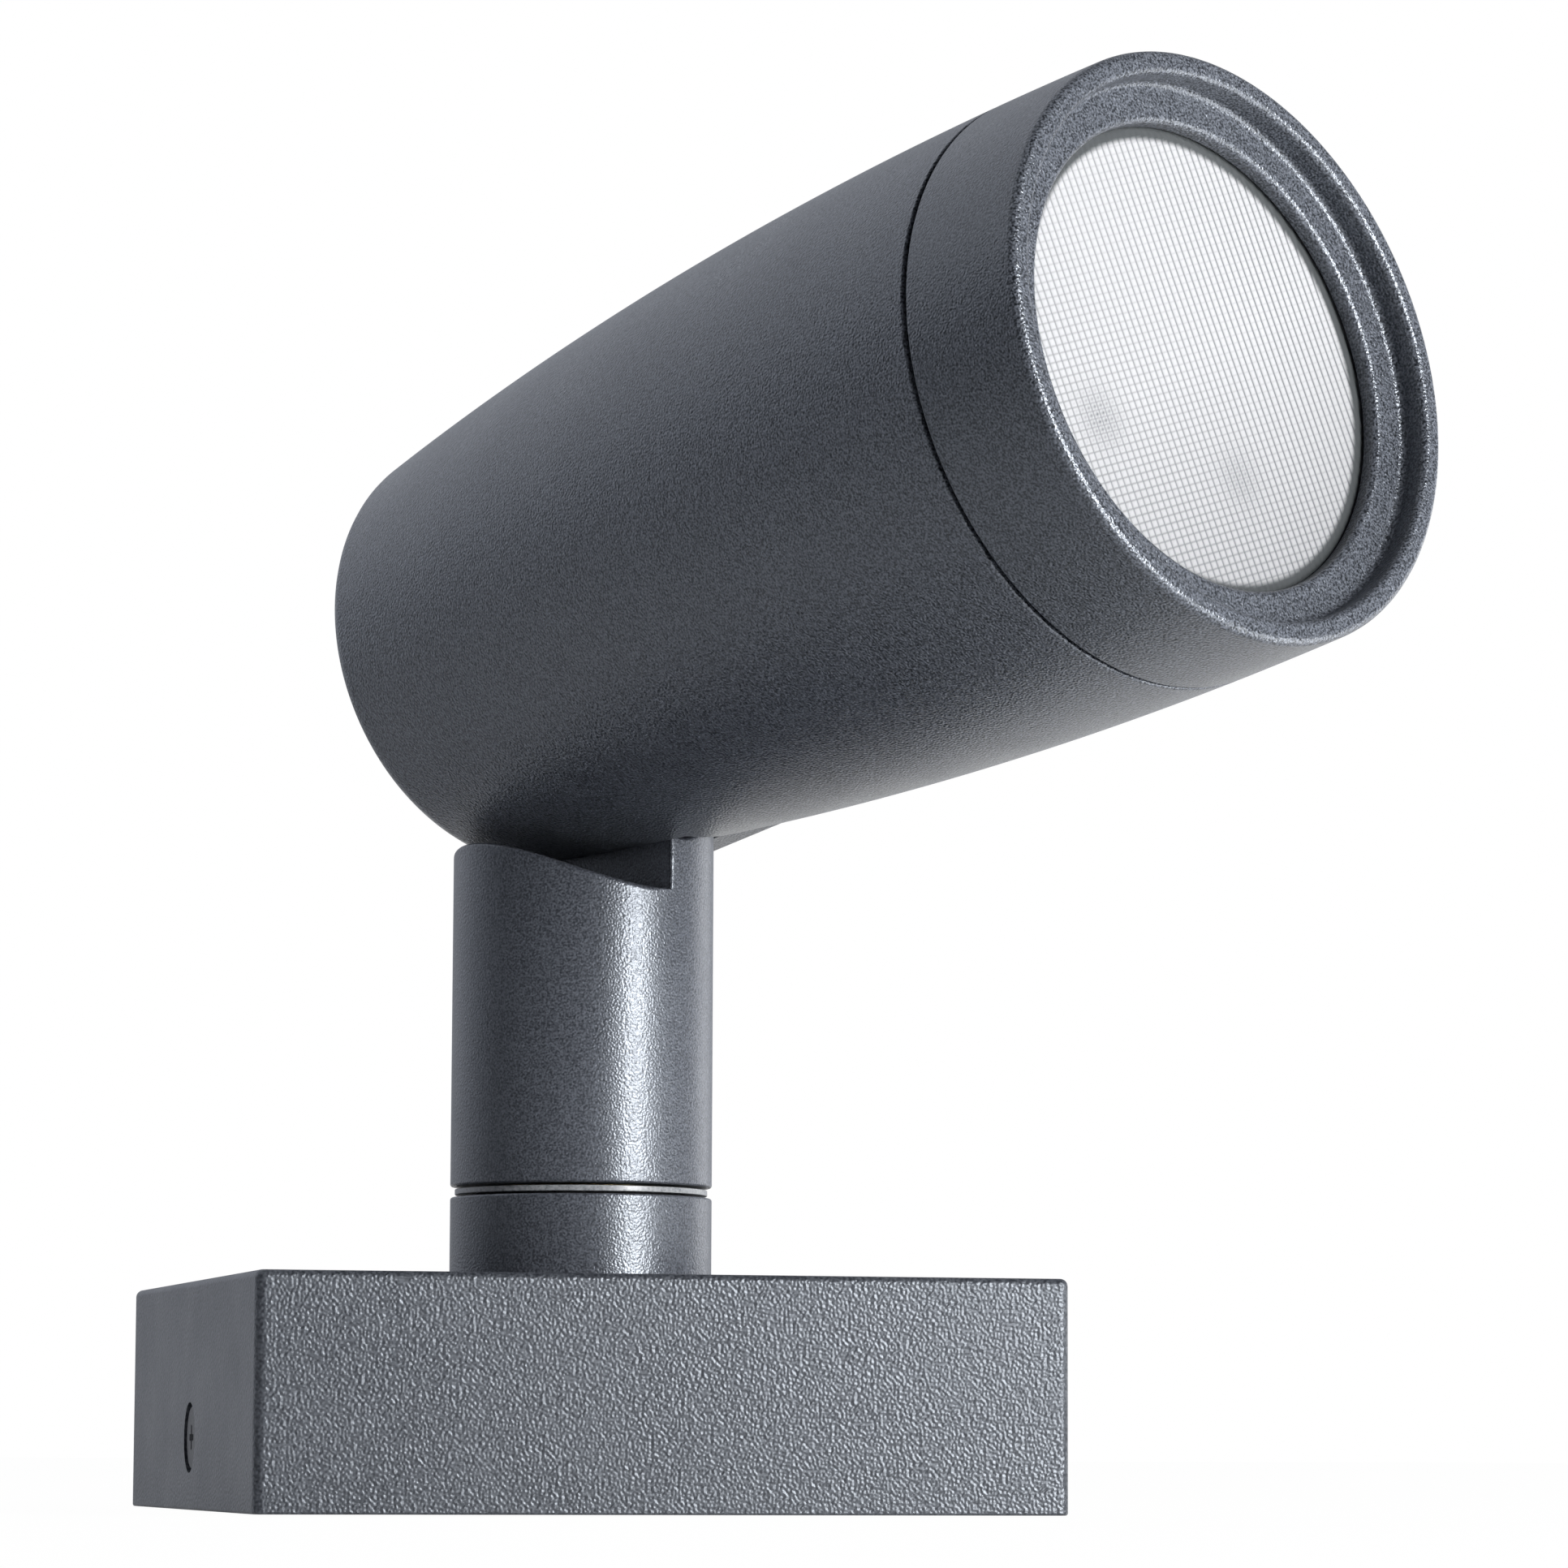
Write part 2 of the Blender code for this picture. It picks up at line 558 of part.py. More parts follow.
def add_swivel():
    """Fixed collar and the hollow nipple that clamps it and carries the turning post."""
    bore = NIPPLE_RADIUS + GAP
    seat = COLLAR_TOP - SEAL_SECTION / 2
    groove = (SEAL_RADIUS - SEAL_SECTION / 2 - GAP, SEAL_RADIUS + SEAL_SECTION / 2 + GAP)
    outline = [(groove[1], COLLAR_TOP), (POST_RADIUS - COLLAR_CHAMFER, COLLAR_TOP),
               (POST_RADIUS, COLLAR_TOP - COLLAR_CHAMFER), (POST_RADIUS, COLLAR_BOTTOM),
               (bore, COLLAR_BOTTOM), (bore, COLLAR_TOP), (groove[0], COLLAR_TOP), (groove[0], seat),
               (groove[1], seat)]
    collar = turned("pedestal_collar", outline, COATED, steps=POST_STEPS)
    pin_hole = STOP_PIN_RADIUS + GAP
    cut(collar, disc("stop_pin_hole", pin_hole, COLLAR_TOP - STOP_PIN_DEPTH, COLLAR_TOP + OVERSHOOT,
                     place=(STOP_PIN_RING, 0, 0), parent=STOP_PLACE))
    ring("swivel_nipple", NIPPLE_BORE, NIPPLE_RADIUS, BASE_CEILING - NIPPLE_BELOW_TOP, NIPPLE_TOP, BRASS)
    washer_low = BASE_CEILING - GAP - WASHER_THICKNESS
    ring("base_washer", bore, WASHER_RADIUS, washer_low, BASE_CEILING - GAP, STEEL)
    add_nut("base_nut", washer_low - GAP - NUT_HEIGHT)
    inner = groove[1] + GAP
    ring("swivel_washer", inner, inner + SWIVEL_WASHER_WIDTH, COLLAR_TOP + GAP, POST_BOTTOM - GAP,
         DARK_PLASTIC, steps=POST_STEPS)
    half = SEAL_SECTION / 2
    section = arc((SEAL_RADIUS, seat + GAP + half), half, 180, -180, SEAL_POINTS + 1)[:-1]
    turned("swivel_seal", section, RUBBER, steps=INNER_STEPS)
    spring = BUSH_TOP + GAP
    ring("spring_washer", bore, NUT_RADIUS, spring, spring + WASHER_THICKNESS, STEEL)
    add_nut("swivel_nut", SWIVEL_NUT_BOTTOM)
    pin_floor = COLLAR_TOP - STOP_PIN_DEPTH + GAP
    disc("swivel_stop_pin", STOP_PIN_RADIUS, pin_floor, POST_BOTTOM + STOP_PIN_DEPTH, STEEL,
         place=(STOP_PIN_RING, 0, 0), parent=STOP_PLACE)


def add_nut(name, low):
    nut = hexagon(name, NUT_RADIUS, low, low + NUT_HEIGHT, BRASS)
    cut(nut, disc(name + "_bore", NIPPLE_RADIUS + GAP, low - OVERSHOOT, low + NUT_HEIGHT + OVERSHOOT))


def add_swivel_bush():
    """Bush in the foot of the post, with a round groove that the stop pin runs in."""
    bush = ring("swivel_bush", NIPPLE_RADIUS + GAP, BUSH_RADIUS, POST_BOTTOM, BUSH_TOP, BRASS,
                parent=SWIVEL_AXIS, steps=POST_STEPS)
    half = STOP_PIN_RADIUS + GAP
    reach = SWIVEL_LIMIT + math.degrees(half / STOP_PIN_RING)
    outline = arc((0, 0), STOP_PIN_RING + half, -reach, reach, INNER_STEPS)
    outline += arc((0, 0), STOP_PIN_RING - half, reach, -reach, INNER_STEPS)
    depth = STOP_PIN_DEPTH + GAP
    cut(bush, sheet("stop_groove", outline, 2 * depth, place=(0, 0, POST_BOTTOM), parent=SWIVEL_AXIS))
    height = POST_BOTTOM + BUSH_HEIGHT / 2
    grub_face = -POST_RADIUS + GAP
    grub_tip = -BUSH_RADIUS - GAP
    grub = disc("post_grub_screw", GRUB_RADIUS, -grub_tip, -grub_face, STEEL, place=(0, 0, height),
                turn=ALONG_MINUS_X, parent=SWIVEL_AXIS)
    cut(grub, hexagon("grub_socket", GRUB_SOCKET, -grub_face - GRUB_SOCKET_DEPTH, -grub_face + OVERSHOOT,
                      parent=grub))


def tongue_surround():
    """Side view of all that is cut away round the tongue, above the post's shoulder."""
    corner = Vector((POST_RADIUS, TONGUE_CORNER))
    middle = Vector((PIVOT.x, PIVOT.z))
    back = middle.x - TONGUE_RADIUS
    reach = corner - middle
    tangent = math.degrees(math.atan2(reach.y, reach.x) + math.acos(TONGUE_RADIUS / reach.length))
    far = 2 * POST_RADIUS
    top = middle.y + 2 * TONGUE_RADIUS
    foot = SADDLE_LOW + (POST_RADIUS - back) * math.tan(math.radians(SADDLE_TILT)) - GAP
    return [(far, corner.y), tuple(corner)] + arc(middle, TONGUE_RADIUS, tangent, 180) + [
        (back, foot), (-far, foot), (-far, top), (far, top)]


def saddle_surround():
    """End view of all that is cut away above the saddle's low line, on the side away from the tongue."""
    reach = math.degrees(math.asin(min(1, (POST_RADIUS + OVERSHOOT) / SADDLE_RADIUS)))
    curve = arc((0, SADDLE_RADIUS), SADDLE_RADIUS, -90 - reach, -90)
    top = PIVOT_RISE + 2 * TONGUE_RADIUS
    return curve + [(0, top), (curve[0][0], top)]


def add_post():
    """Round post whose top is a saddle on one half and a hinge tongue on the other."""
    top = PIVOT.z + TONGUE_RADIUS + GAP
    half_step = (0, 0, math.pi / POST_STEPS)
    post = disc("swivel_post", POST_RADIUS, POST_BOTTOM, top, COATED, SWIVEL_AXIS, turn=half_step,
                steps=POST_STEPS, edge=POST_EDGE)
    width = 4 * POST_RADIUS
    cut(post, sheet("saddle_cut", saddle_surround(), width, parent=SADDLE_AXIS, turn=FRONT_VIEW,
                    place=(-POST_RADIUS, 0, 0)))
    cut(post, sheet("tongue_cut", tongue_surround(), width, parent=SWIVEL_AXIS, turn=SIDE_VIEW,
                    place=(0, width / 2 - OVERSHOOT, 0)))
    cut(post, disc("bush_seat", BUSH_RADIUS + GAP, POST_BOTTOM - OVERSHOOT, CHAMBER_TOP, parent=SWIVEL_AXIS))
    cut(post, disc("lead_passage", LEAD_HOLE_RADIUS, CHAMBER_TOP - OVERSHOOT, PIVOT.z + TONGUE_RADIUS,
                   parent=SWIVEL_AXIS, place=(LEAD_OUT_ALONG, LEAD_OUT_ACROSS, 0)))
    height = POST_BOTTOM + BUSH_HEIGHT / 2
    cut(post, disc("grub_hole", GRUB_RADIUS + GAP, BUSH_RADIUS - OVERSHOOT, POST_RADIUS + OVERSHOOT,
                   parent=SWIVEL_AXIS, place=(0, 0, height), turn=ALONG_MINUS_X))
    hinge = {"parent": SWIVEL_AXIS, "place": PIVOT, "turn": ALONG_Y}
    recess = FRICTION_WASHER_THICKNESS + GAP
    cut(post, disc("hinge_hole", HINGE_BUSH_RADIUS + GAP, -OVERSHOOT, POST_RADIUS + OVERSHOOT, **hinge))
    cut(post, disc("washer_recess", FRICTION_WASHER_RADIUS + GAP, -OVERSHOOT, recess, **hinge))
    cut(post, disc("spot_face", SPOT_FACE_RADIUS, SPOT_FACE, POST_RADIUS + OVERSHOOT, **hinge))
    bore = BOLT_RADIUS + GAP
    ring("hinge_bush", bore, HINGE_BUSH_RADIUS, recess + GAP, SPOT_FACE, BRASS, **hinge)
    ring("friction_washer", bore, FRICTION_WASHER_RADIUS, 0, FRICTION_WASHER_THICKNESS, NYLON, **hinge)
    inside = (LEAD_OUT_ALONG, LEAD_OUT_ACROSS)
    rise = CHAMBER_TOP_GAP / 4
    start = NIPPLE_TOP + GAP
    lead("post_lead", [(0, 0, start), (0, 0, start + rise / 2), (0, 0, start + rise),
                       (*inside, CHAMBER_TOP - rise), (*inside, CHAMBER_TOP), (*inside, CHAMBER_TOP + rise),
                       (*inside, TONGUE_CORNER)], SWIVEL_AXIS)


def add_hinge():
    """Bolt and spacer that turn with the head."""
    hinge = {"parent": TILT_AXIS, "turn": ALONG_Y}
    head_seat = CHEEK_FACE - BOLT_HEAD_INSET - BOLT_HEAD_HEIGHT
    face = head_seat + BOLT_HEAD_HEIGHT
    tip = -BOLT_THREAD + GAP
    outline = [(0, face), (BOLT_HEAD_RADIUS, face), (BOLT_HEAD_RADIUS, head_seat), (BOLT_RADIUS, head_seat),
               (BOLT_RADIUS, tip), (0, tip)]
    bolt = turned("hinge_bolt", outline, STEEL, **hinge)
    cut(bolt, hexagon("bolt_socket", BOLT_SOCKET, face - BOLT_SOCKET_DEPTH, face + OVERSHOOT, **hinge))
    ring("hinge_spacer", BOLT_RADIUS + GAP, SPACER_RADIUS, SPOT_FACE + GAP, SLOT_FAR_SIDE - GAP, STEEL,
         **hinge)


def cheek_outline():
    """Side view of the hinge cheek, round the pivot with a ramp that runs forward into the head."""
    slope = math.radians(CHEEK_SLOPE)
    back = PIVOT_FROM_REAR - CHEEK_INSET
    start = -math.degrees(math.acos(-back / CHEEK_RADIUS))
    round_part = arc((0, 0), CHEEK_RADIUS, start, CHEEK_SLOPE - 90)
    front_low = round_part[-1][1] + (CHEEK_LENGTH - round_part[-1][0]) * math.tan(slope)
    return round_part + [(CHEEK_LENGTH, front_low), (CHEEK_LENGTH, CHEEK_ROOT), (-back, CHEEK_ROOT)]


def slot_outline_in_head():
    """Side view of the slot that the tongue sweeps as the head goes from level to upright."""
    roof = TONGUE_RADIUS + RUNNING_GAP
    corner = Vector((POST_RADIUS + PIVOT_SETBACK, TONGUE_CORNER - PIVOT.z))
    tangent = math.atan2(corner.y, corner.x) + math.acos(TONGUE_RADIUS / corner.length)
    outward = Vector((math.cos(tangent), math.sin(tangent))) * RUNNING_GAP
    wall = corner.x + RUNNING_GAP
    knee = corner.y + outward.y + (corner.x + outward.x - wall) / math.tan(-tangent)
    rear = -2 * PIVOT_FROM_REAR
    low = -2 * HEAD_RADIUS
    return arc((0, 0), roof, math.degrees(tangent), 90) + [
        (rear, roof), (rear, low), (wall, low), (wall, knee)]


def head_outline():
    """Outline of the head's shell in (radius, distance from the rear), down its outer side."""
    stations = [SEAM * step / HEAD_STATIONS for step in range(HEAD_STATIONS, 0, -1)]
    front = [(head_radius(along), along) for along in stations]
    start = head_radius(HEAD_FILLET)
    rear = arc((start - HEAD_FILLET, HEAD_FILLET), HEAD_FILLET, 0, -90, FILLET_POINTS)
    rebate = SEAM - SEAL_RING_HEIGHT - GAP
    seal_outer = FRONT_BORE + GAP + SEAL_RING_WIDTH + GAP
    inside = [(0, CAVITY_FLOOR), (REAR_BORE, CAVITY_FLOOR), (REAR_BORE, CARRIER_SEAT),
              (FRONT_BORE, CARRIER_SEAT), (FRONT_BORE, rebate), (seal_outer, rebate), (seal_outer, SEAM)]
    return inside + front + rear + [(0, 0)]


def add_head_body():
    """Bullet shell with a solid rear, the hinge cheek and the slot for the tongue."""
    body = turned("head_body", head_outline(), COATED, HEAD_AXIS, steps=HEAD_STEPS)
    side = {"parent": TILT_AXIS, "turn": SIDE_VIEW}
    root = SLOT_FAR_SIDE - OVERSHOOT
    cheek = sheet("cheek", cheek_outline(), CHEEK_FACE - root, place=(0, (CHEEK_FACE + root) / 2, 0), **side)
    round_edges(cheek, CHEEK_EDGE, SQUARE)
    join(body, cheek)
    width = SLOT_FAR_SIDE + GAP
    cut(body, sheet("tongue_slot", slot_outline_in_head(), width,
                    place=(0, SLOT_FAR_SIDE - width / 2, 0), **side))
    lead_end = CAVITY_FLOOR - PIVOT_FROM_REAR + OVERSHOOT
    cut(body, disc("head_lead_hole", LEAD_HOLE_RADIUS, LEAD_OUT_ALONG, lead_end,
                   parent=TILT_AXIS, turn=ALONG_X, place=(0, LEAD_OUT_ACROSS, -LEAD_IN_DROP)))
    hinge = {"parent": TILT_AXIS, "turn": ALONG_Y}
    cut(body, disc("bolt_hole", BOLT_RADIUS + GAP, -BOLT_THREAD, CHEEK_FACE + OVERSHOOT, **hinge))
    seat = CHEEK_FACE - BOLT_HEAD_INSET - BOLT_HEAD_HEIGHT - GAP
    cut(body, disc("bolt_head_recess", BOLT_HEAD_RADIUS + GAP, seat, HEAD_RADIUS, **hinge))


def bezel_outline():
    """Outline of the front ring: spigot, outer curve, rounded rim, recess and window flange."""
    back = SEAM + SEAM_GAP
    middle = (back + HEAD_LENGTH) / 2
    outer = [(head_radius(back), back), (head_radius(middle), middle)]
    rim_arc = arc((RIM_RADIUS - RIM_ROUND, HEAD_LENGTH - RIM_ROUND), RIM_ROUND, 0, 90, FILLET_POINTS)
    lip = [(RECESS_RADIUS + LIP_ROUND, HEAD_LENGTH), (RECESS_RADIUS, HEAD_LENGTH - LIP_ROUND)]
    recess = [(RECESS_RADIUS, FLANGE_FACE + LIP_ROUND), (RECESS_RADIUS - LIP_ROUND, FLANGE_FACE)]
    window = [(WINDOW_RADIUS + LIP_ROUND, FLANGE_FACE), (WINDOW_RADIUS, FLANGE_FACE - LIP_ROUND),
              (WINDOW_RADIUS, FLANGE_FACE - FLANGE_THICKNESS), (BEZEL_BORE, FLANGE_FACE - FLANGE_THICKNESS)]
    spigot = [(BEZEL_BORE, SPIGOT_END), (SPIGOT_RADIUS, SPIGOT_END), (SPIGOT_RADIUS, back)]
    return list(reversed(outer + rim_arc + lip + recess + window + spigot))


def add_front():
    """Front ring with the glass, its gasket, the reflector and the ring that holds them in."""
    front = {"parent": HEAD_AXIS, "steps": HEAD_STEPS}
    inner = {"parent": HEAD_AXIS, "steps": INNER_STEPS}
    turned("front_bezel", bezel_outline(), COATED, **front)
    low = FRONT_BORE + GAP
    ring("bezel_seal", low, low + SEAL_RING_WIDTH, SEAM - SEAL_RING_HEIGHT, SEAM, RUBBER, **front)
    disc("front_glass", GLASS_RADIUS, GLASS_FACE - GLASS_THICKNESS, GLASS_FACE, GLASS, **front)
    mouth = WINDOW_RADIUS - GASKET_RING_COVER
    ring("glass_gasket", mouth, GLASS_RADIUS, GASKET_FACE - GASKET_RING_THICKNESS, GASKET_FACE, RUBBER,
         **inner)
    ring("glass_retainer", GLASS_RADIUS - RETAINER_WIDTH, GLASS_RADIUS, RETAINER_FACE - RETAINER_HEIGHT,
         RETAINER_FACE, ALUMINIUM, **inner)
    turned("reflector", reflector_outline(mouth), MIRROR, **inner)


def reflector_outline(mouth):
    """A parabola from the light's throat to the mouth, with a wall and a flange round the mouth."""
    throat = LED_BOARD_FRONT + GAP + LED_SCREW_HEAD_HEIGHT + RUNNING_GAP
    depth = REFLECTOR_FACE - throat
    opening = mouth * mouth - REFLECTOR_THROAT * REFLECTOR_THROAT

    def bowl(level):
        return math.sqrt(REFLECTOR_THROAT ** 2 + opening * (level - throat) / depth)

    shares = [step / REFLECTOR_STATIONS for step in range(REFLECTOR_STATIONS + 1)]
    levels = [throat + depth * share * share for share in shares]
    inner = [(bowl(level), level) for level in levels]
    under = REFLECTOR_FACE - REFLECTOR_FLANGE
    outer_levels = [level for level in levels if level < under] + [under]
    outer = [(bowl(level) + REFLECTOR_WALL, level) for level in outer_levels]
    flange = [(GLASS_RADIUS, under), (GLASS_RADIUS, REFLECTOR_FACE)]
    return inner + list(reversed(outer + flange))


def add_light_engine():
    """Carrier plate with the light source, and the electronics behind it."""
    head = {"parent": HEAD_AXIS}
    carrier = disc("led_carrier", CARRIER_RADIUS, CARRIER_SEAT + GAP, CARRIER_FRONT, ALUMINIUM,
                   steps=INNER_STEPS, **head)
    board = disc("led_board", LED_BOARD_RADIUS, CARRIER_FRONT + GAP, LED_BOARD_FRONT, NYLON, **head)
    disc("led_chip", LED_RADIUS, LED_BOARD_FRONT + GAP, LED_FRONT, PHOSPHOR, **head)
    seat = LED_BOARD_FRONT + GAP
    for number, side in ((1, -1), (2, 1)):
        spot = {"parent": HEAD_AXIS, "place": (0, side * LED_SCREW_RING, 0)}
        hole = disc("led_screw_hole_%d" % number, LED_SCREW_RADIUS + GAP,
                    LED_BOARD_FRONT - LED_SCREW_LENGTH - GAP, LED_BOARD_FRONT + OVERSHOOT, **spot)
        cut(carrier, hole)
        cut(board, hole)
        face = seat + LED_SCREW_HEAD_HEIGHT
        outline = [(0, face), (LED_SCREW_HEAD_RADIUS, face), (LED_SCREW_HEAD_RADIUS, seat),
                   (LED_SCREW_RADIUS, seat), (LED_SCREW_RADIUS, LED_BOARD_FRONT - LED_SCREW_LENGTH),
                   (0, LED_BOARD_FRONT - LED_SCREW_LENGTH)]
        turned("led_screw_%d" % number, outline, STEEL, **spot)
    add_electronics()


def add_electronics():
    """Driver block on the floor of the head's cavity, with the radio board on its upper face."""
    middle = CAVITY_FLOOR + GAP + DRIVER_LENGTH / 2
    block("led_driver", (DRIVER_HEIGHT, DRIVER_WIDTH, DRIVER_LENGTH), DARK_PLASTIC, HEAD_AXIS,
          (0, 0, middle), edge=DRIVER_EDGE)
    board_middle = -DRIVER_HEIGHT / 2 - GAP - BOARD_THICKNESS / 2
    board = block("control_board", (BOARD_THICKNESS, DRIVER_WIDTH - 2 * BOARD_MARGIN,
                                    DRIVER_LENGTH - 2 * BOARD_MARGIN), BOARD, HEAD_AXIS,
                  (board_middle, 0, middle))
    chip = block("control_chip", (CHIP_HEIGHT + BOARD_THICKNESS / 2, CHIP_SIDE, CHIP_SIDE), None, HEAD_AXIS,
                 (board_middle - BOARD_THICKNESS / 4 - CHIP_HEIGHT / 2, 0, middle))
    join(board, chip)
    floor = CAVITY_FLOOR - PIVOT_FROM_REAR
    slot_wall = SLOT_FRONT - PIVOT_FROM_REAR
    hole = (LEAD_OUT_ACROSS, -LEAD_IN_DROP)
    lead("head_lead", [(slot_wall, *hole), ((slot_wall + floor) / 2, *hole), (floor, *hole)], TILT_AXIS)


def add_base_lead():
    """Lead from the terminal block, round into the foot of the nipple and up its bore."""
    foot = BASE_CEILING - NIPPLE_BELOW_TOP
    start = -TERMINAL_FROM_MIDDLE + TERMINAL_WIDTH / 2 + GAP
    level = PLATE_THICKNESS + GAP + TERMINAL_HEIGHT / 2
    lead("base_lead", [(0, start, level), (0, start + LEAD_STRAIGHT, level),
                       (0, -LEAD_BEND, level + LEAD_RADIUS), (0, 0, foot),
                       (0, 0, (foot + NIPPLE_TOP) / 2), (0, 0, NIPPLE_TOP)])


add_base()
add_mounting_plate()
add_base_fittings()
add_swivel()
add_swivel_bush()
add_post()
add_hinge()
add_head_body()
add_front()
add_light_engine()
add_base_lead()
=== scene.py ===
"""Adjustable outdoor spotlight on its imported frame: finer visible pieces, materials, studio and camera."""
import json
import math

import bmesh
import bpy
from mathutils import Matrix, Vector


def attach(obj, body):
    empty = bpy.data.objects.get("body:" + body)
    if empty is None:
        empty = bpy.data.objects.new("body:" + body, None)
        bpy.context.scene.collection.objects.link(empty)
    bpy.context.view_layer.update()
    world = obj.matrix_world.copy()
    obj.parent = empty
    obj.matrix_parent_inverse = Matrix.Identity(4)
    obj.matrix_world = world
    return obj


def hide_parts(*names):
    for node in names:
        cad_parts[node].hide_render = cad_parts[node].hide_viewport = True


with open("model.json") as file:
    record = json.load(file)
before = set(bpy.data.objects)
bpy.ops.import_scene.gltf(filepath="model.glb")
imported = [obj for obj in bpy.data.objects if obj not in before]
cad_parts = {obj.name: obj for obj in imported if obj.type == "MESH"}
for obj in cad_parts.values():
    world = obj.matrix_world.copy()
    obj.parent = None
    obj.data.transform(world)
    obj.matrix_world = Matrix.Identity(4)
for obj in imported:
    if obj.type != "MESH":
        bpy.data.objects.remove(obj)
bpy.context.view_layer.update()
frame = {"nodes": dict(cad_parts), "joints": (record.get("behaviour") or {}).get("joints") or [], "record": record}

# Step counts and limits of the visible pieces
HEAD_STEPS = 224
POST_STEPS = 144
SMALL_STEPS = 64
STATIONS = 56
RUN_STEPS = 10
ARC_STEPS = 8
BEZEL_STATIONS = 12
FILLET_STATIONS = 3
SLOT_STEPS = 20
TONGUE_EDGE_STEPS = 3
BOLT_SOCKET_SIDES = 6
SHARP = math.radians(34)
WELD = 0.000002
OVERSHOOT = 0.002

# Sizes of the part and its edge rounds: lengths in metres, and angles in radians unless named otherwise
GAP = 0.0003
SEAM_GAP = 0.0005
BASE_WALL = 0.0030
BASE_EDGE = 0.0009
BASE_FOOT_EDGE = 0.0003
SCREW_HEIGHT = 0.0086
SCREW_RECESS_RADIUS = 0.0042
SCREW_RECESS_DEPTH = 0.0016
SCREW_RADIUS = 0.0020
SCREW_HEAD = 0.00105
SCREW_HEAD_EDGE = 0.0002
SCREW_HEAD_FOOT_EDGE = 0.0001
SCREW_TIP_EDGE = 0.0004
CROSS_HALF = 0.0015
CROSS_WIDTH = 0.0008
CROSS_DEPTH = 0.0009
CROSS_FOOT_SHARE = 0.35
NIPPLE_HOLE = 0.0053
SEAL_RADIUS = 0.0118
SEAL_SECTION = 0.0018
COLLAR_EDGE = 0.0003
COLLAR_FOOT_EDGE = 0.0002
WASHER_EDGE = 0.0001
STOP_PIN_HOLE = 0.0013
STOP_PIN_RING = 0.0083
STOP_PIN_DEPTH = 0.0030
POST_EDGE = 0.0003
SADDLE_EDGE = 0.0006
EDGE_FADE = 0.0030
TONGUE_EDGE = 0.0004
TONGUE_EDGE_PROFILE = 0.5
SADDLE_RADIUS = 0.0343
SADDLE_TILT = math.radians(6.55)
PIVOT_RISE = 0.0168
TONGUE_RADIUS = 0.0085
TONGUE_SHOULDER = 0.0063
TONGUE_BACK_TURN = 0.004
BUSH_SEAT = 0.0111
BUSH_HEIGHT = 0.0085
CHAMBER_ROOM = 0.0120
GRUB_HOLE = 0.0023
HINGE_HOLE = 0.0049
WASHER_RECESS = 0.0070
WASHER_RECESS_DEPTH = 0.0012
SPOT_FACE_RADIUS = 0.0072
SPOT_FACE_DEPTH = 0.0024
LEAD_HOLE = 0.0024
LEAD_OUT_ALONG = 0.0040
LEAD_OUT_ACROSS = 0.0072
LEAD_IN_DROP = 0.0030
BOLT_RADIUS = 0.0030
BOLT_HOLE = 0.0033
BOLT_HEAD_RADIUS = 0.0052
BOLT_HEAD_HEIGHT = 0.0024
BOLT_HEAD_INSET = 0.0004
BOLT_HEAD_EDGE = 0.0005
BOLT_THREAD = 0.0110
BOLT_TIP_EDGE = 0.0004
BOLT_SOCKET = 0.0026
BOLT_SOCKET_DEPTH = 0.0014
SPACER_EDGE = 0.0002
CHEEK_THICKNESS = 0.0050
CHEEK_RADIUS = 0.0109
CHEEK_LENGTH = 0.0340
CHEEK_SLOPE_DEGREES = 1.4
CHEEK_ROOT = 0.0060
CHEEK_INSET = 0.0012
CHEEK_EDGE = 0.0010
RUNNING_GAP = 0.0006
HEAD_RADIUS = 0.0350
HEAD_REAR_RADIUS = 0.0268
HEAD_WIDEST = 0.1017
HEAD_FILLET = 0.0035
PIVOT_FROM_REAR = 0.0090
HEAD_WALL = 0.0030
CARRIER_STEP = 0.0022
SEAM_EDGE = 0.0003
SPIGOT_WALL = 0.0019
SPIGOT_LENGTH = 0.0090
RIM_ROUND = 0.0010
LIP_WIDTH = 0.0017
LIP_ROUND = 0.0008
RECESS_DEPTH = 0.0035
FLANGE_WIDTH = 0.0045
FLANGE_THICKNESS = 0.0020
WINDOW_EDGE = 0.0001

# Prism glass: its relief, and shares of the painted groove shade over the pale colour
PRISM_WIDE = 0.00105
PRISM_TALL = 0.00088
PRISM_TURN = math.radians(17)
PRISM_RELIEF = 0.00010
PRISM_CROSS = 0.22
PRISM_SHARES = (0.0, 0.2, 0.5, 0.8)
PRISM_RISES = (0.0, 0.55, 1.0, 0.55)
CLEAR_EDGE = 0.0016
CLEAR_FADE = 0.0006
GLASS_PALE = Vector((0.360, 0.363, 0.370))
GLASS_GROOVE_SHADE = Vector((0.085, 0.090, 0.098))
GLASS_SEAT = Vector((0.048, 0.052, 0.054))
# Painted shade: the share by which the glass darkens towards its lower right, and the slant of that
GLASS_PAINTED_SHADE = 0.24
GLASS_PAINTED_SHADE_SLANT = 0.45
GLASS_REACH = 0.030
# Painted shade along the grooves, stronger to the right; along the cross grooves it is stronger lower down
GROOVE_SHADE_SHARE = 0.70
GROOVE_SHADE_SHARE_RIGHT = 0.30
GROOVE_SHADE_FADE = 1.6
CROSS_SHADE_SHARE = 0.22
CROSS_SHADE_SHARE_LOW = 0.40
CROSS_START = GLASS_REACH / 6
CROSS_SLANT = 0.5
SPOT_REACH = 0.0034
SPOT_GAIN = 1.8
SPOT_CUT = 0.6

# Dark spots as (across, up, strength)
GLASS_SPOTS = ((-0.0172, -0.0090, 1.0), (0.0044, -0.0133, 0.75))

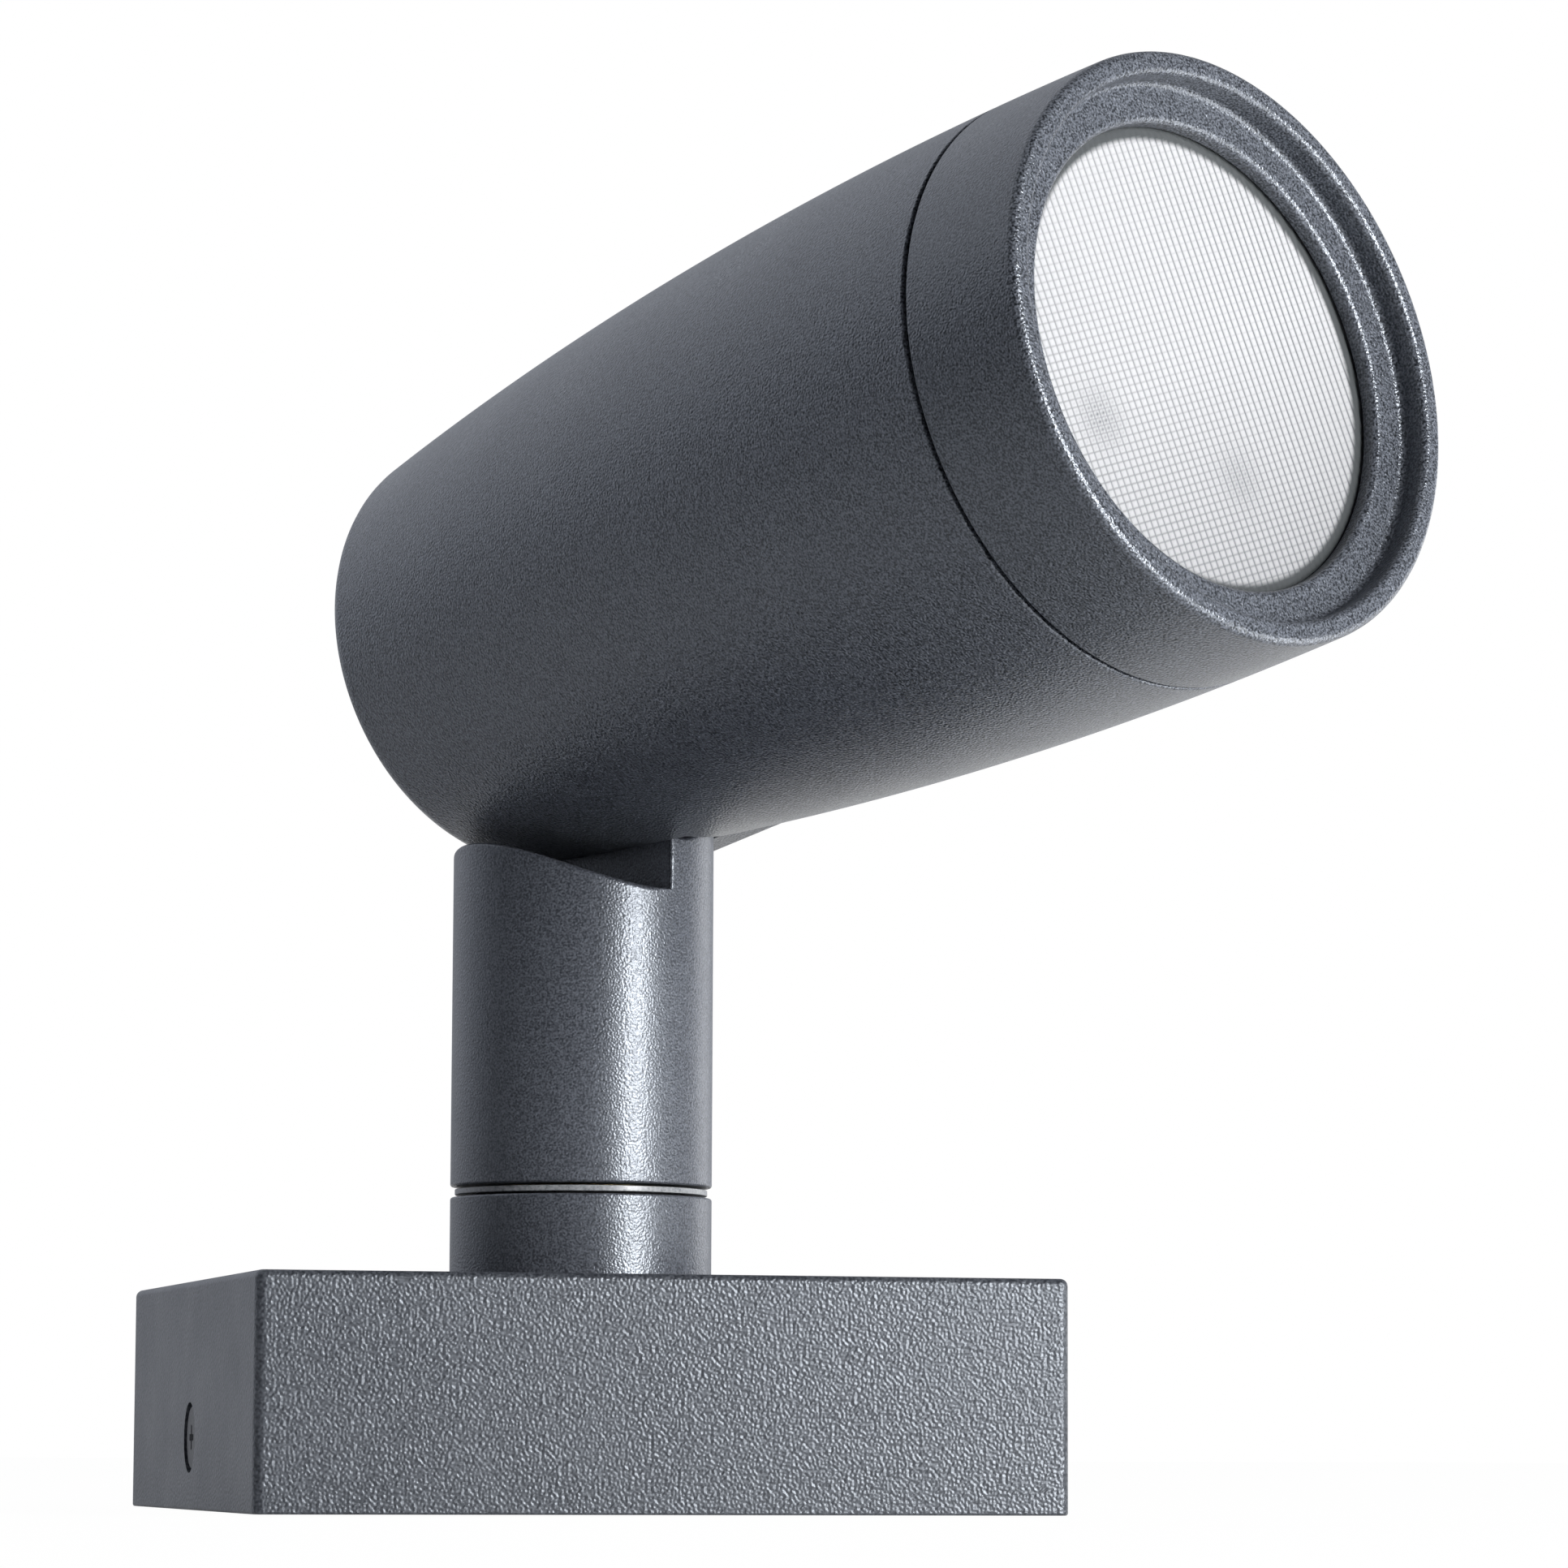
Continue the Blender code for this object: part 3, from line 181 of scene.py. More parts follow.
# Rest pose and axes, from the joints
joints = {joint["name"]: joint for joint in frame["joints"]}
PIVOT = Vector(joints["head_tilt"]["pos_m"])
UP = Vector((0, 0, 1))
ACROSS = -Vector(joints["head_tilt"]["axis"]).normalized()
LEVEL = ACROSS.cross(UP)
ELEVATION = -math.radians(joints["head_tilt"]["range_deg"][0])
ALONG = LEVEL * math.cos(ELEVATION) + UP * math.sin(ELEVATION)
RISE = UP * math.cos(ELEVATION) - LEVEL * math.sin(ELEVATION)


def axes(origin, x, y, z):
    """Matrix of a set of axes whose columns are x, y and z."""
    turn = Matrix((x, y, z)).transposed().to_4x4()
    turn.translation = origin
    return turn


def reach(node, place):
    """Lowest and highest corner of a node in a set of axes."""
    inverse = place.inverted()
    points = [inverse @ vert.co for vert in frame["nodes"][node].data.vertices]
    low = Vector([min(point[i] for point in points) for i in range(3)])
    high = Vector([max(point[i] for point in points) for i in range(3)])
    return low, high


WORLD = Matrix.Identity(4)
POST = axes(Vector((0, 0, 0)), LEVEL, ACROSS, UP)
TILT = axes(PIVOT, ALONG, ACROSS, RISE)
HINGE = axes(PIVOT, RISE, ALONG, ACROSS)
SIDE = axes(PIVOT, ALONG, RISE, ACROSS)
tilted_low, tilted_high = reach("front_glass", TILT)
AXIS_RISE = (tilted_low.z + tilted_high.z) / 2
REAR = reach("head_body", TILT)[0].x
HEAD = axes(PIVOT + RISE * AXIS_RISE + ALONG * REAR, -RISE, ACROSS, ALONG)

base_high = reach("base_housing", WORLD)[1]
collar_low, collar_high = reach("pedestal_collar", POST)
seal_low, seal_high = reach("bezel_seal", HEAD)
carrier_low, carrier_high = reach("led_carrier", HEAD)
driver_low = reach("led_driver", HEAD)[0]
glass_low, glass_high = reach("front_glass", HEAD)
nipple_high = reach("swivel_nipple", WORLD)[1]

BASE_HALF = base_high.x
BASE_HEIGHT = base_high.z
POST_RADIUS = collar_high.x
POST_BOTTOM = reach("swivel_post", POST)[0].z
SADDLE_LOW = PIVOT.z - PIVOT_RISE
TONGUE_CORNER = SADDLE_LOW + TONGUE_SHOULDER
PIVOT_ALONG = PIVOT.dot(LEVEL)
CHAMBER_TOP = nipple_high.z + CHAMBER_ROOM
SLOT_FAR_SIDE = POST_RADIUS + GAP
CHEEK_FACE = SLOT_FAR_SIDE + CHEEK_THICKNESS
HEAD_LENGTH = reach("front_bezel", HEAD)[1].z
SEAM = seal_high.z
GLASS_RADIUS = glass_high.y


def head_radius(along):
    """Outer radius of the head at a distance from its rear face."""
    share = (HEAD_WIDEST - along) / HEAD_WIDEST
    return HEAD_RADIUS - (HEAD_RADIUS - HEAD_REAR_RADIUS) * share * share


RIM_RADIUS = head_radius(HEAD_LENGTH)
RECESS_RADIUS = RIM_RADIUS - RIM_ROUND - LIP_WIDTH
WINDOW_RADIUS = RECESS_RADIUS - FLANGE_WIDTH
FLANGE_FACE = HEAD_LENGTH - RECESS_DEPTH


# Mesh building
def rounded(corners, closed=True):
    """Outline through corners (x, y, round), each with its own round."""
    points = []
    count = len(corners)
    for number, (x, y, radius) in enumerate(corners):
        here = Vector((x, y))
        if radius == 0 or (not closed and number in (0, count - 1)):
            points.append(here)
            continue
        before = (Vector(corners[number - 1][:2]) - here).normalized()
        after = (Vector(corners[(number + 1) % count][:2]) - here).normalized()
        half = before.angle(after) / 2
        middle = here + (before + after).normalized() * (radius / math.sin(half))
        start = here + before * (radius / math.tan(half)) - middle
        end = here + after * (radius / math.tan(half)) - middle
        sweep = start.angle_signed(end)
        for step in range(ARC_STEPS + 1):
            points.append(middle + Matrix.Rotation(-sweep * step / ARC_STEPS, 2) @ start)
    return points


def arc(middle, radius, start, end, steps):
    """Points of an arc, with its angles in degrees."""
    points = []
    for step in range(steps + 1):
        angle = math.radians(start + (end - start) * step / steps)
        points.append(Vector((middle[0] + radius * math.cos(angle), middle[1] + radius * math.sin(angle))))
    return points


def skin(mesh, rows, closed):
    """Faces between neighbouring rows of vertices; rows of one vertex are points."""
    pairs = list(zip(rows, rows[1:]))
    if closed:
        pairs.append((rows[-1], rows[0]))
    for one, other in pairs:
        count = max(len(one), len(other))
        for step in range(count if count > 1 else 0):
            after = (step + 1) % count
            near = [one[step % len(one)], one[after % len(one)]]
            far = [other[after % len(other)], other[step % len(other)]]
            mesh.faces.new(list(dict.fromkeys(near + far)))


def turned(outline, place, steps=SMALL_STEPS):
    """An outline of (radius, height) spun round local Z of a set of axes."""
    mesh = bmesh.new()
    rows = []
    for radius, height in outline:
        turns = steps if radius > WELD else 1
        row = []
        for step in range(turns):
            angle = 2 * math.pi * step / steps
            spot = Vector((radius * math.cos(angle), radius * math.sin(angle), height))
            row.append(mesh.verts.new(place @ spot))
        rows.append(row)
    skin(mesh, rows, len(rows[0]) > 1 or len(rows[-1]) > 1)
    return mesh


def disc(place, radius, low, high, steps=SMALL_STEPS):
    return turned([(0, low), (radius, low), (radius, high), (0, high)], place, steps)


def stepped(place, steps):
    """A stepped plug of (radius, low, high) stretches along local Z."""
    outline = [(0, steps[0][1])]
    for radius, low, high in steps:
        outline += [(radius, low), (radius, high)]
    return turned(outline + [(0, steps[-1][2])], place)


def ring(place, bore, radius, low, high, edge, steps):
    corners = [(bore, low, 0), (radius, low, edge), (radius, high, edge), (bore, high, 0)]
    return turned(rounded(corners), place, steps)


def loft(levels, place):
    """Outlines stacked at heights along local Z, as (height, outline), with both ends closed."""
    mesh = bmesh.new()
    rows = []
    for height, outline in levels:
        rows.append([mesh.verts.new(place @ Vector((x, y, height))) for x, y in outline])
    skin(mesh, rows, False)
    mesh.faces.new(rows[0])
    mesh.faces.new(rows[-1])
    return mesh


def quarter(radius):
    """Insets and heights of a quarter round, from its side to its top."""
    turns = [math.pi / 2 * step / ARC_STEPS for step in range(ARC_STEPS + 1)]
    return [(radius * (1 - math.cos(turn)), radius * math.sin(turn)) for turn in turns]


def box(low, high):
    mesh = bmesh.new()
    bmesh.ops.create_cube(mesh, size=1)
    low = Vector(low)
    high = Vector(high)
    for vert in mesh.verts:
        vert.co = (low + high) / 2 + Vector([side * size for side, size in zip(vert.co, high - low)])
    return mesh


def write_smooth(mesh, data):
    """Writes bmesh data to a mesh, smooth-shaded with sharp edges kept."""
    for face in mesh.faces:
        face.smooth = True
    mesh.to_mesh(data)
    mesh.free()
    data.set_sharp_from_angle(angle=SHARP)


def settle(mesh, name):
    """Turns bmesh data into a mesh object."""
    bmesh.ops.recalc_face_normals(mesh, faces=mesh.faces)
    data = bpy.data.meshes.new(name)
    write_smooth(mesh, data)
    obj = bpy.data.objects.new(name, data)
    bpy.context.scene.collection.objects.link(obj)
    return obj


def carve(obj, cuts, joins=()):
    """Joins meshes to an object and cuts others out of it."""
    tools = []
    for operation, meshes in (("UNION", joins), ("DIFFERENCE", cuts)):
        for mesh in meshes:
            tool = settle(mesh, "tool")
            tools.append(tool)
            step = obj.modifiers.new(operation, "BOOLEAN")
            step.operation = operation
            step.solver = "EXACT"
            step.object = tool
    ready = obj.evaluated_get(bpy.context.evaluated_depsgraph_get())
    data = bpy.data.meshes.new_from_object(ready)
    obj.modifiers.clear()
    obj.data = data
    for tool in tools:
        bpy.data.objects.remove(tool)
    mesh = bmesh.new()
    mesh.from_mesh(data)
    bmesh.ops.remove_doubles(mesh, verts=mesh.verts, dist=WELD)
    bmesh.ops.dissolve_degenerate(mesh, dist=WELD, edges=mesh.edges)
    write_smooth(mesh, data)
    return obj


def place_piece(obj, node, material):
    """Puts a finer piece in the place of a node, on its body and with its material."""
    body = next(name for name, nodes in frame["record"]["behaviour"]["bodies"].items() if node in nodes)
    obj.name = node + "_fine"
    obj.data.materials.clear()
    obj.data.materials.append(material)
    weighted = obj.modifiers.new("weighted", "WEIGHTED_NORMAL")
    weighted.keep_sharp = True
    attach(obj, body)
    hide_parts(node)


# Materials
def new_material(name):
    material = bpy.data.materials.new(name)
    material.use_nodes = True
    tree = material.node_tree
    return material, tree, tree.nodes["Principled BSDF"]


def add_node(tree, kind, **values):
    node = tree.nodes.new(kind)
    for key, value in values.items():
        if key.startswith("in_"):
            node.inputs[key[3:].replace("_", " ")].default_value = value
        else:
            setattr(node, key, value)
    return node


def add_noise(tree, cells, detail, roughness=0.5):
    """Noise fixed to the piece, with so many cells per metre."""
    spot = add_node(tree, "ShaderNodeTexCoord")
    noise = add_node(tree, "ShaderNodeTexNoise", in_Scale=cells, in_Detail=detail, in_Roughness=roughness)
    tree.links.new(spot.outputs["Object"], noise.inputs["Vector"])
    return noise.outputs["Fac"]


def add_span(tree, source, given, wanted):
    """Spreads a source from one pair of values to another."""
    span = add_node(tree, "ShaderNodeMapRange", in_From_Min=given[0], in_From_Max=given[1],
                    in_To_Min=wanted[0], in_To_Max=wanted[1])
    tree.links.new(source, span.inputs["Value"])
    return span.outputs["Result"]


def add_blend(tree, factor, one, other):
    blend = add_node(tree, "ShaderNodeMix", data_type="RGBA")
    blend.inputs["A"].default_value = (*one, 1)
    blend.inputs["B"].default_value = (*other, 1)
    tree.links.new(factor, blend.inputs["Factor"])
    return blend.outputs["Result"]


def add_bump(tree, height, distance, strength):
    bump = add_node(tree, "ShaderNodeBump", in_Strength=strength, in_Distance=distance)
    tree.links.new(height, bump.inputs["Height"])
    return bump.outputs["Normal"]


def add_math(tree, operation, one, other):
    result = add_node(tree, "ShaderNodeMath", operation=operation)
    tree.links.new(one, result.inputs[0])
    tree.links.new(other, result.inputs[1])
    return result.outputs["Value"]


def add_along(tree, coordinate, way):
    """How far a kind of texture coordinate reaches along a direction."""
    spot = add_node(tree, "ShaderNodeTexCoord")
    dot = add_node(tree, "ShaderNodeVectorMath", operation="DOT_PRODUCT")
    dot.inputs[1].default_value = way
    tree.links.new(spot.outputs[coordinate], dot.inputs[0])
    return dot.outputs["Value"]


# Noise lies mostly within these spans; cells and grains are per metre
NOISE_SPAN = (0.3, 0.7)
SPECKLE_SPAN = (0.33, 0.67)
SPECKLE_PER_GRAIN = 1.1
SPECKLE_DETAIL = 0.5
MOTTLE_CELLS = 90
MOTTLE_DETAIL = 3.0
COAT_GLOSS = 0.75
COAT_TINT = (0.86, 0.92, 1.0, 1)
PLAIN_DETAIL = 3.0
PLAIN_NOISE_ROUGHNESS = 0.6
PLAIN_BUMP_STRENGTH = 0.6
GLASS_CELLS = 900
GLASS_DETAIL = 2.0
GLASS_ROUGHNESS = (0.10, 0.22)
GLASS_BUMP = 0.00001
GLASS_BUMP_STRENGTH = 0.5


def coat(name, dark, light, grains, peel, roughness):
    """Textured powder coat: an orange peel with so many grains per metre, speckled a little finer."""
    material, tree, shader = new_material(name)
    height = add_noise(tree, grains, detail=0.0)
    speckle = add_noise(tree, grains * SPECKLE_PER_GRAIN, SPECKLE_DETAIL)
    mottle = add_noise(tree, MOTTLE_CELLS, MOTTLE_DETAIL)
    share = add_span(tree, speckle, SPECKLE_SPAN, (0, 1))
    tree.links.new(add_blend(tree, share, dark, light), shader.inputs["Base Color"])
    tree.links.new(add_span(tree, mottle, NOISE_SPAN, roughness), shader.inputs["Roughness"])
    tree.links.new(add_bump(tree, height, peel, strength=1.0), shader.inputs["Normal"])
    shader.inputs["Specular IOR Level"].default_value = COAT_GLOSS
    shader.inputs["Specular Tint"].default_value = COAT_TINT
    return material


def plain(name, dark, light, cells, roughness, metallic, bump):
    """A surface with a slight mottle in colour, roughness and height."""
    material, tree, shader = new_material(name)
    noise = add_noise(tree, cells, PLAIN_DETAIL, PLAIN_NOISE_ROUGHNESS)
    share = add_span(tree, noise, NOISE_SPAN, (0, 1))
    tree.links.new(add_blend(tree, share, dark, light), shader.inputs["Base Color"])
    tree.links.new(add_span(tree, noise, NOISE_SPAN, roughness), shader.inputs["Roughness"])
    tree.links.new(add_bump(tree, noise, bump, PLAIN_BUMP_STRENGTH), shader.inputs["Normal"])
    shader.inputs["Metallic"].default_value = metallic
    return material


def prism_glass():
    """Moulded prism glass, with the colour and painted shade that prism_tint gives its points."""
    material, tree, shader = new_material("prism_glass")
    tint_and_shade = add_node(tree, "ShaderNodeAttribute", attribute_name="tint_and_shade")
    noise = add_noise(tree, GLASS_CELLS, GLASS_DETAIL)
    tree.links.new(tint_and_shade.outputs["Color"], shader.inputs["Base Color"])
    tree.links.new(add_span(tree, noise, NOISE_SPAN, GLASS_ROUGHNESS), shader.inputs["Roughness"])
    tree.links.new(add_bump(tree, noise, GLASS_BUMP, GLASS_BUMP_STRENGTH), shader.inputs["Normal"])
    return material


COATED = coat("anthracite_powder_coat", (0.024, 0.026, 0.032), (0.081, 0.088, 0.104),
              grains=3700, peel=0.000052, roughness=(0.29, 0.34))
HEAD_COATED = coat("anthracite_head_coat", (0.006, 0.007, 0.009), (0.100, 0.109, 0.129),
                   grains=3600, peel=0.000120, roughness=(0.27, 0.32))
# The bezel coat is a darker copy of the head coat; its darker colour is painted shade
BEZEL_COAT_AND_SHADE = coat("anthracite_bezel_coat_and_painted_shade", (0.0055, 0.0065, 0.0085), (0.088, 0.096, 0.113),
                    grains=3600, peel=0.000090, roughness=(0.27, 0.32))
COARSE_COATED = coat("anthracite_coarse_coat", (0.015, 0.0165, 0.021), (0.054, 0.0585, 0.068),
                     grains=2600, peel=0.000100, roughness=(0.36, 0.42))
GLASS = prism_glass()
STEEL = plain("stainless_steel", (0.38, 0.38, 0.39), (0.48, 0.48, 0.49),
              cells=700, roughness=(0.32, 0.44), metallic=1.0, bump=0.00001)
BLACKENED = plain("blackened_steel", (0.030, 0.032, 0.037), (0.055, 0.058, 0.066),
                  cells=2600, roughness=(0.38, 0.5), metallic=0.0, bump=0.00002)
BRASS = plain("brass", (0.55, 0.40, 0.16), (0.68, 0.52, 0.24),
              cells=500, roughness=(0.28, 0.40), metallic=1.0, bump=0.00001)
ALUMINIUM = plain("bare_aluminium", (0.70, 0.71, 0.73), (0.80, 0.81, 0.83),
                  cells=600, roughness=(0.28, 0.42), metallic=1.0, bump=0.00001)
MIRROR = plain("reflector_coating", (0.86, 0.87, 0.89), (0.93, 0.94, 0.95),
               cells=260, roughness=(0.10, 0.20), metallic=1.0, bump=0.00008)
RUBBER = plain("black_rubber", (0.014, 0.014, 0.015), (0.028, 0.028, 0.030),
               cells=1800, roughness=(0.66, 0.82), metallic=0.0, bump=0.00003)
NYLON = plain("white_nylon", (0.68, 0.68, 0.65), (0.80, 0.80, 0.77),
              cells=1200, roughness=(0.36, 0.5), metallic=0.0, bump=0.00001)
PLASTIC = plain("dark_plastic", (0.026, 0.026, 0.030), (0.044, 0.044, 0.050),
                cells=1500, roughness=(0.42, 0.56), metallic=0.0, bump=0.00002)
# Lighter grey than the washer's dark plastic: its own grey together with a painted highlight for the light line in
# the groove
WASHER_GREY_AND_HIGHLIGHT = plain("grey_washer_and_painted_highlight", (0.11, 0.115, 0.125), (0.26, 0.27, 0.28),
                       cells=2600, roughness=(0.25, 0.4), metallic=0.0, bump=0.00005)
BOARD = plain("circuit_board", (0.020, 0.13, 0.055), (0.035, 0.19, 0.085),
              cells=800, roughness=(0.34, 0.5), metallic=0.0, bump=0.00002)
WHITE_BOARD = plain("led_board_white", (0.80, 0.80, 0.79), (0.88, 0.88, 0.87),
                    cells=900, roughness=(0.3, 0.42), metallic=0.0, bump=0.00001)
PHOSPHOR = plain("led_phosphor", (0.78, 0.57, 0.08), (0.90, 0.72, 0.16),
                 cells=1500, roughness=(0.4, 0.55), metallic=0.0, bump=0.00002)
LEAD_SKIN = plain("lead_sheath", (0.040, 0.040, 0.044), (0.062, 0.062, 0.066),
                  cells=1400, roughness=(0.45, 0.6), metallic=0.0, bump=0.00002)
BY_SLOT = {
    "coated_aluminium": COATED, "stainless_steel": STEEL, "blackened_steel": BLACKENED, "brass": BRASS,
    "bare_aluminium": ALUMINIUM, "reflector_coating": MIRROR, "rubber": RUBBER, "nylon": NYLON,
    "dark_plastic": PLASTIC, "circuit_board": BOARD, "led_board_white": WHITE_BOARD, "phosphor": PHOSPHOR,
    "prism_glass": GLASS, "lead_sheath": LEAD_SKIN,
}


# Base
def side_axes(side):
    """Axes of a side screw: local Z runs out of the base's left or right side."""
    return axes(Vector((0, 0, SCREW_HEIGHT)), Vector((0, side, 0)), UP, Vector((side, 0, 0)))


def housing_mesh():
    """A square block with round upright and top edges and a nearly sharp foot."""
    edges = [(inset, BASE_FOOT_EDGE - height) for inset, height in reversed(quarter(BASE_FOOT_EDGE))]
    edges += [(inset, BASE_HEIGHT - BASE_EDGE + height) for inset, height in quarter(BASE_EDGE)]
    levels = []
    for inset, height in edges:
        half = BASE_HALF - inset
        edge = BASE_EDGE + GAP - inset
        corners = [(-half, -half, edge), (half, -half, edge), (half, half, edge), (-half, half, edge)]
        levels.append((height, rounded(corners)))
    return loft(levels, WORLD)


def add_base():
    """Base housing, hollowed from below, and its two side screws."""
    inner = BASE_HALF - BASE_WALL
    floor = BASE_HALF - SCREW_RECESS_DEPTH
    hole = SCREW_RADIUS + GAP
    cuts = [box((-inner, -inner, -OVERSHOOT), (inner, inner, BASE_HEIGHT - BASE_WALL)),
            disc(WORLD, NIPPLE_HOLE, 0, BASE_HEIGHT + OVERSHOOT)]
    for side in (-1, 1):
        cuts.append(stepped(side_axes(side), [(hole, inner - OVERSHOOT, floor),
                                              (SCREW_RECESS_RADIUS, floor, BASE_HALF + OVERSHOOT)]))
    place_piece(carve(settle(housing_mesh(), "base"), cuts), "base_housing", COARSE_COATED)
    for side, node in ((-1, "side_screw_left"), (1, "side_screw_right")):
        add_side_screw(node, side_axes(side))


def cross_outline():
    """Outline of the cross slot in a screw's head."""
    half = CROSS_WIDTH / 2
    corner = [(CROSS_HALF, half), (half, half), (half, CROSS_HALF)]
    upper = corner + [(-x, y) for x, y in reversed(corner)]
    return upper + [(-x, -y) for x, y in upper]


def add_side_screw(node, place):
    """Side screw with a cross slot that narrows to its foot."""
    low, high = reach(node, place)
    seat = BASE_HALF - SCREW_RECESS_DEPTH + GAP
    top = seat + SCREW_HEAD
    corners = [(0, low.z, 0), (SCREW_RADIUS, low.z, SCREW_TIP_EDGE), (SCREW_RADIUS, seat, 0),
               (high.x, seat, SCREW_HEAD_FOOT_EDGE), (high.x, top, SCREW_HEAD_EDGE), (0, top, 0)]
    mouth = cross_outline()
    foot = [(x * CROSS_FOOT_SHARE, y * CROSS_FOOT_SHARE) for x, y in mouth]
    cross = loft([(top - CROSS_DEPTH, foot), (top, mouth), (top + CROSS_DEPTH, mouth)], place)
    head = settle(turned(rounded(corners, False), place), node)
    place_piece(carve(head, [cross]), node, BLACKENED)


# Swivel
def add_swivel():
    """Fixed collar with its seal groove, and the washer above it."""
    seat = collar_high.z - SEAL_SECTION / 2
    inner = SEAL_RADIUS - SEAL_SECTION / 2 - GAP
    outer = SEAL_RADIUS + SEAL_SECTION / 2 + GAP
    low, high = collar_low.z, collar_high.z
    corners = [(NIPPLE_HOLE, low, 0), (POST_RADIUS, low, COLLAR_FOOT_EDGE), (POST_RADIUS, high, COLLAR_EDGE),
               (outer, high, 0), (outer, seat, 0), (inner, seat, 0), (inner, high, 0), (NIPPLE_HOLE, high, 0)]
    pin = axes(LEVEL * STOP_PIN_RING, LEVEL, ACROSS, UP)
    hole = disc(pin, STOP_PIN_HOLE, high - STOP_PIN_DEPTH, high + OVERSHOOT)
    collar = settle(turned(rounded(corners), POST, POST_STEPS), "collar")
    place_piece(carve(collar, [hole]), "pedestal_collar", COATED)
    low, high = reach("swivel_washer", POST)
    washer = ring(POST, outer + GAP, high.x, low.z, high.z, WASHER_EDGE, POST_STEPS)
    place_piece(settle(washer, "washer"), "swivel_washer", WASHER_GREY_AND_HIGHLIGHT)


# Post
def tongue_height(along):
    """Height of the tongue's top at a place along the post's level axis."""
    corner = Vector((POST_RADIUS, TONGUE_CORNER))
    middle = Vector((PIVOT_ALONG, PIVOT.z))
    span = corner - middle
    tangent = math.atan2(span.y, span.x) + math.acos(TONGUE_RADIUS / span.length)
    touch = middle + Vector((math.cos(tangent), math.sin(tangent))) * TONGUE_RADIUS
    if along >= touch.x:
        share = (along - touch.x) / (corner.x - touch.x)
        return touch.y + (corner.y - touch.y) * share
    if along <= middle.x - TONGUE_RADIUS:
        return saddle_height(along, 0)
    return middle.y + math.sqrt(TONGUE_RADIUS ** 2 - (along - middle.x) ** 2)


def saddle_height(along, across):
    """Height of the saddle, a round trough that rises to the rear."""
    trough = SADDLE_RADIUS - math.sqrt(SADDLE_RADIUS ** 2 - across ** 2)
    return SADDLE_LOW + (POST_RADIUS - along) * math.tan(SADDLE_TILT) + trough / math.cos(SADDLE_TILT)


def post_column(angle, near):
    """Points up the post's skin at an angle, from its bore over its top to its middle plane."""
    cosine = math.cos(angle)
    sine = math.sin(angle)
    along = POST_RADIUS * cosine
    across = POST_RADIUS * sine
    top = saddle_height(along, across) if near else tongue_height(along)
    fade = min(1, abs(across) / EDGE_FADE)
    edge = SADDLE_EDGE * fade
    foot = POST_BOTTOM + POST_EDGE
    radii = [(0, CHAMBER_TOP), (BUSH_SEAT, CHAMBER_TOP), (BUSH_SEAT, POST_BOTTOM)]
    radii += [(POST_RADIUS - inset, foot - height) for inset, height in reversed(quarter(POST_EDGE))]
    shoulder = SADDLE_LOW - 2 * SADDLE_EDGE
    radii += [(POST_RADIUS, foot + (shoulder - foot) * step / RUN_STEPS) for step in range(1, RUN_STEPS + 1)]
    points = [Vector((cosine * radius, sine * radius, height)) for radius, height in radii]
    brow = top - edge
    seam = brow if near else min(brow, saddle_height(along, 0))
    heights = [shoulder + (seam - shoulder) * step / RUN_STEPS for step in range(1, RUN_STEPS + 1)]
    if not near:
        heights += [seam + (brow - seam) * step / RUN_STEPS for step in range(1, RUN_STEPS + 1)]
    points += [Vector((along, across, height)) for height in heights]
    for inset, height in quarter(edge)[1:]:
        scale = 1 - inset / POST_RADIUS
        lift = saddle_height(along * scale, across * scale) - top if near else 0
        points.append(Vector((along * scale, across * scale, brow + height + lift)))
    side = points[-1].y
    end = points[-1].x
    for step in range(1, RUN_STEPS + 1):
        inward = side * (1 - step / RUN_STEPS)
        points.append(Vector((end, inward, saddle_height(end, inward) if near else top)))
    if not near:
        drop = saddle_height(end, 0) - top
        points += [Vector((end, 0, top + drop * step / RUN_STEPS)) for step in range(1, RUN_STEPS + 1)]
    return points


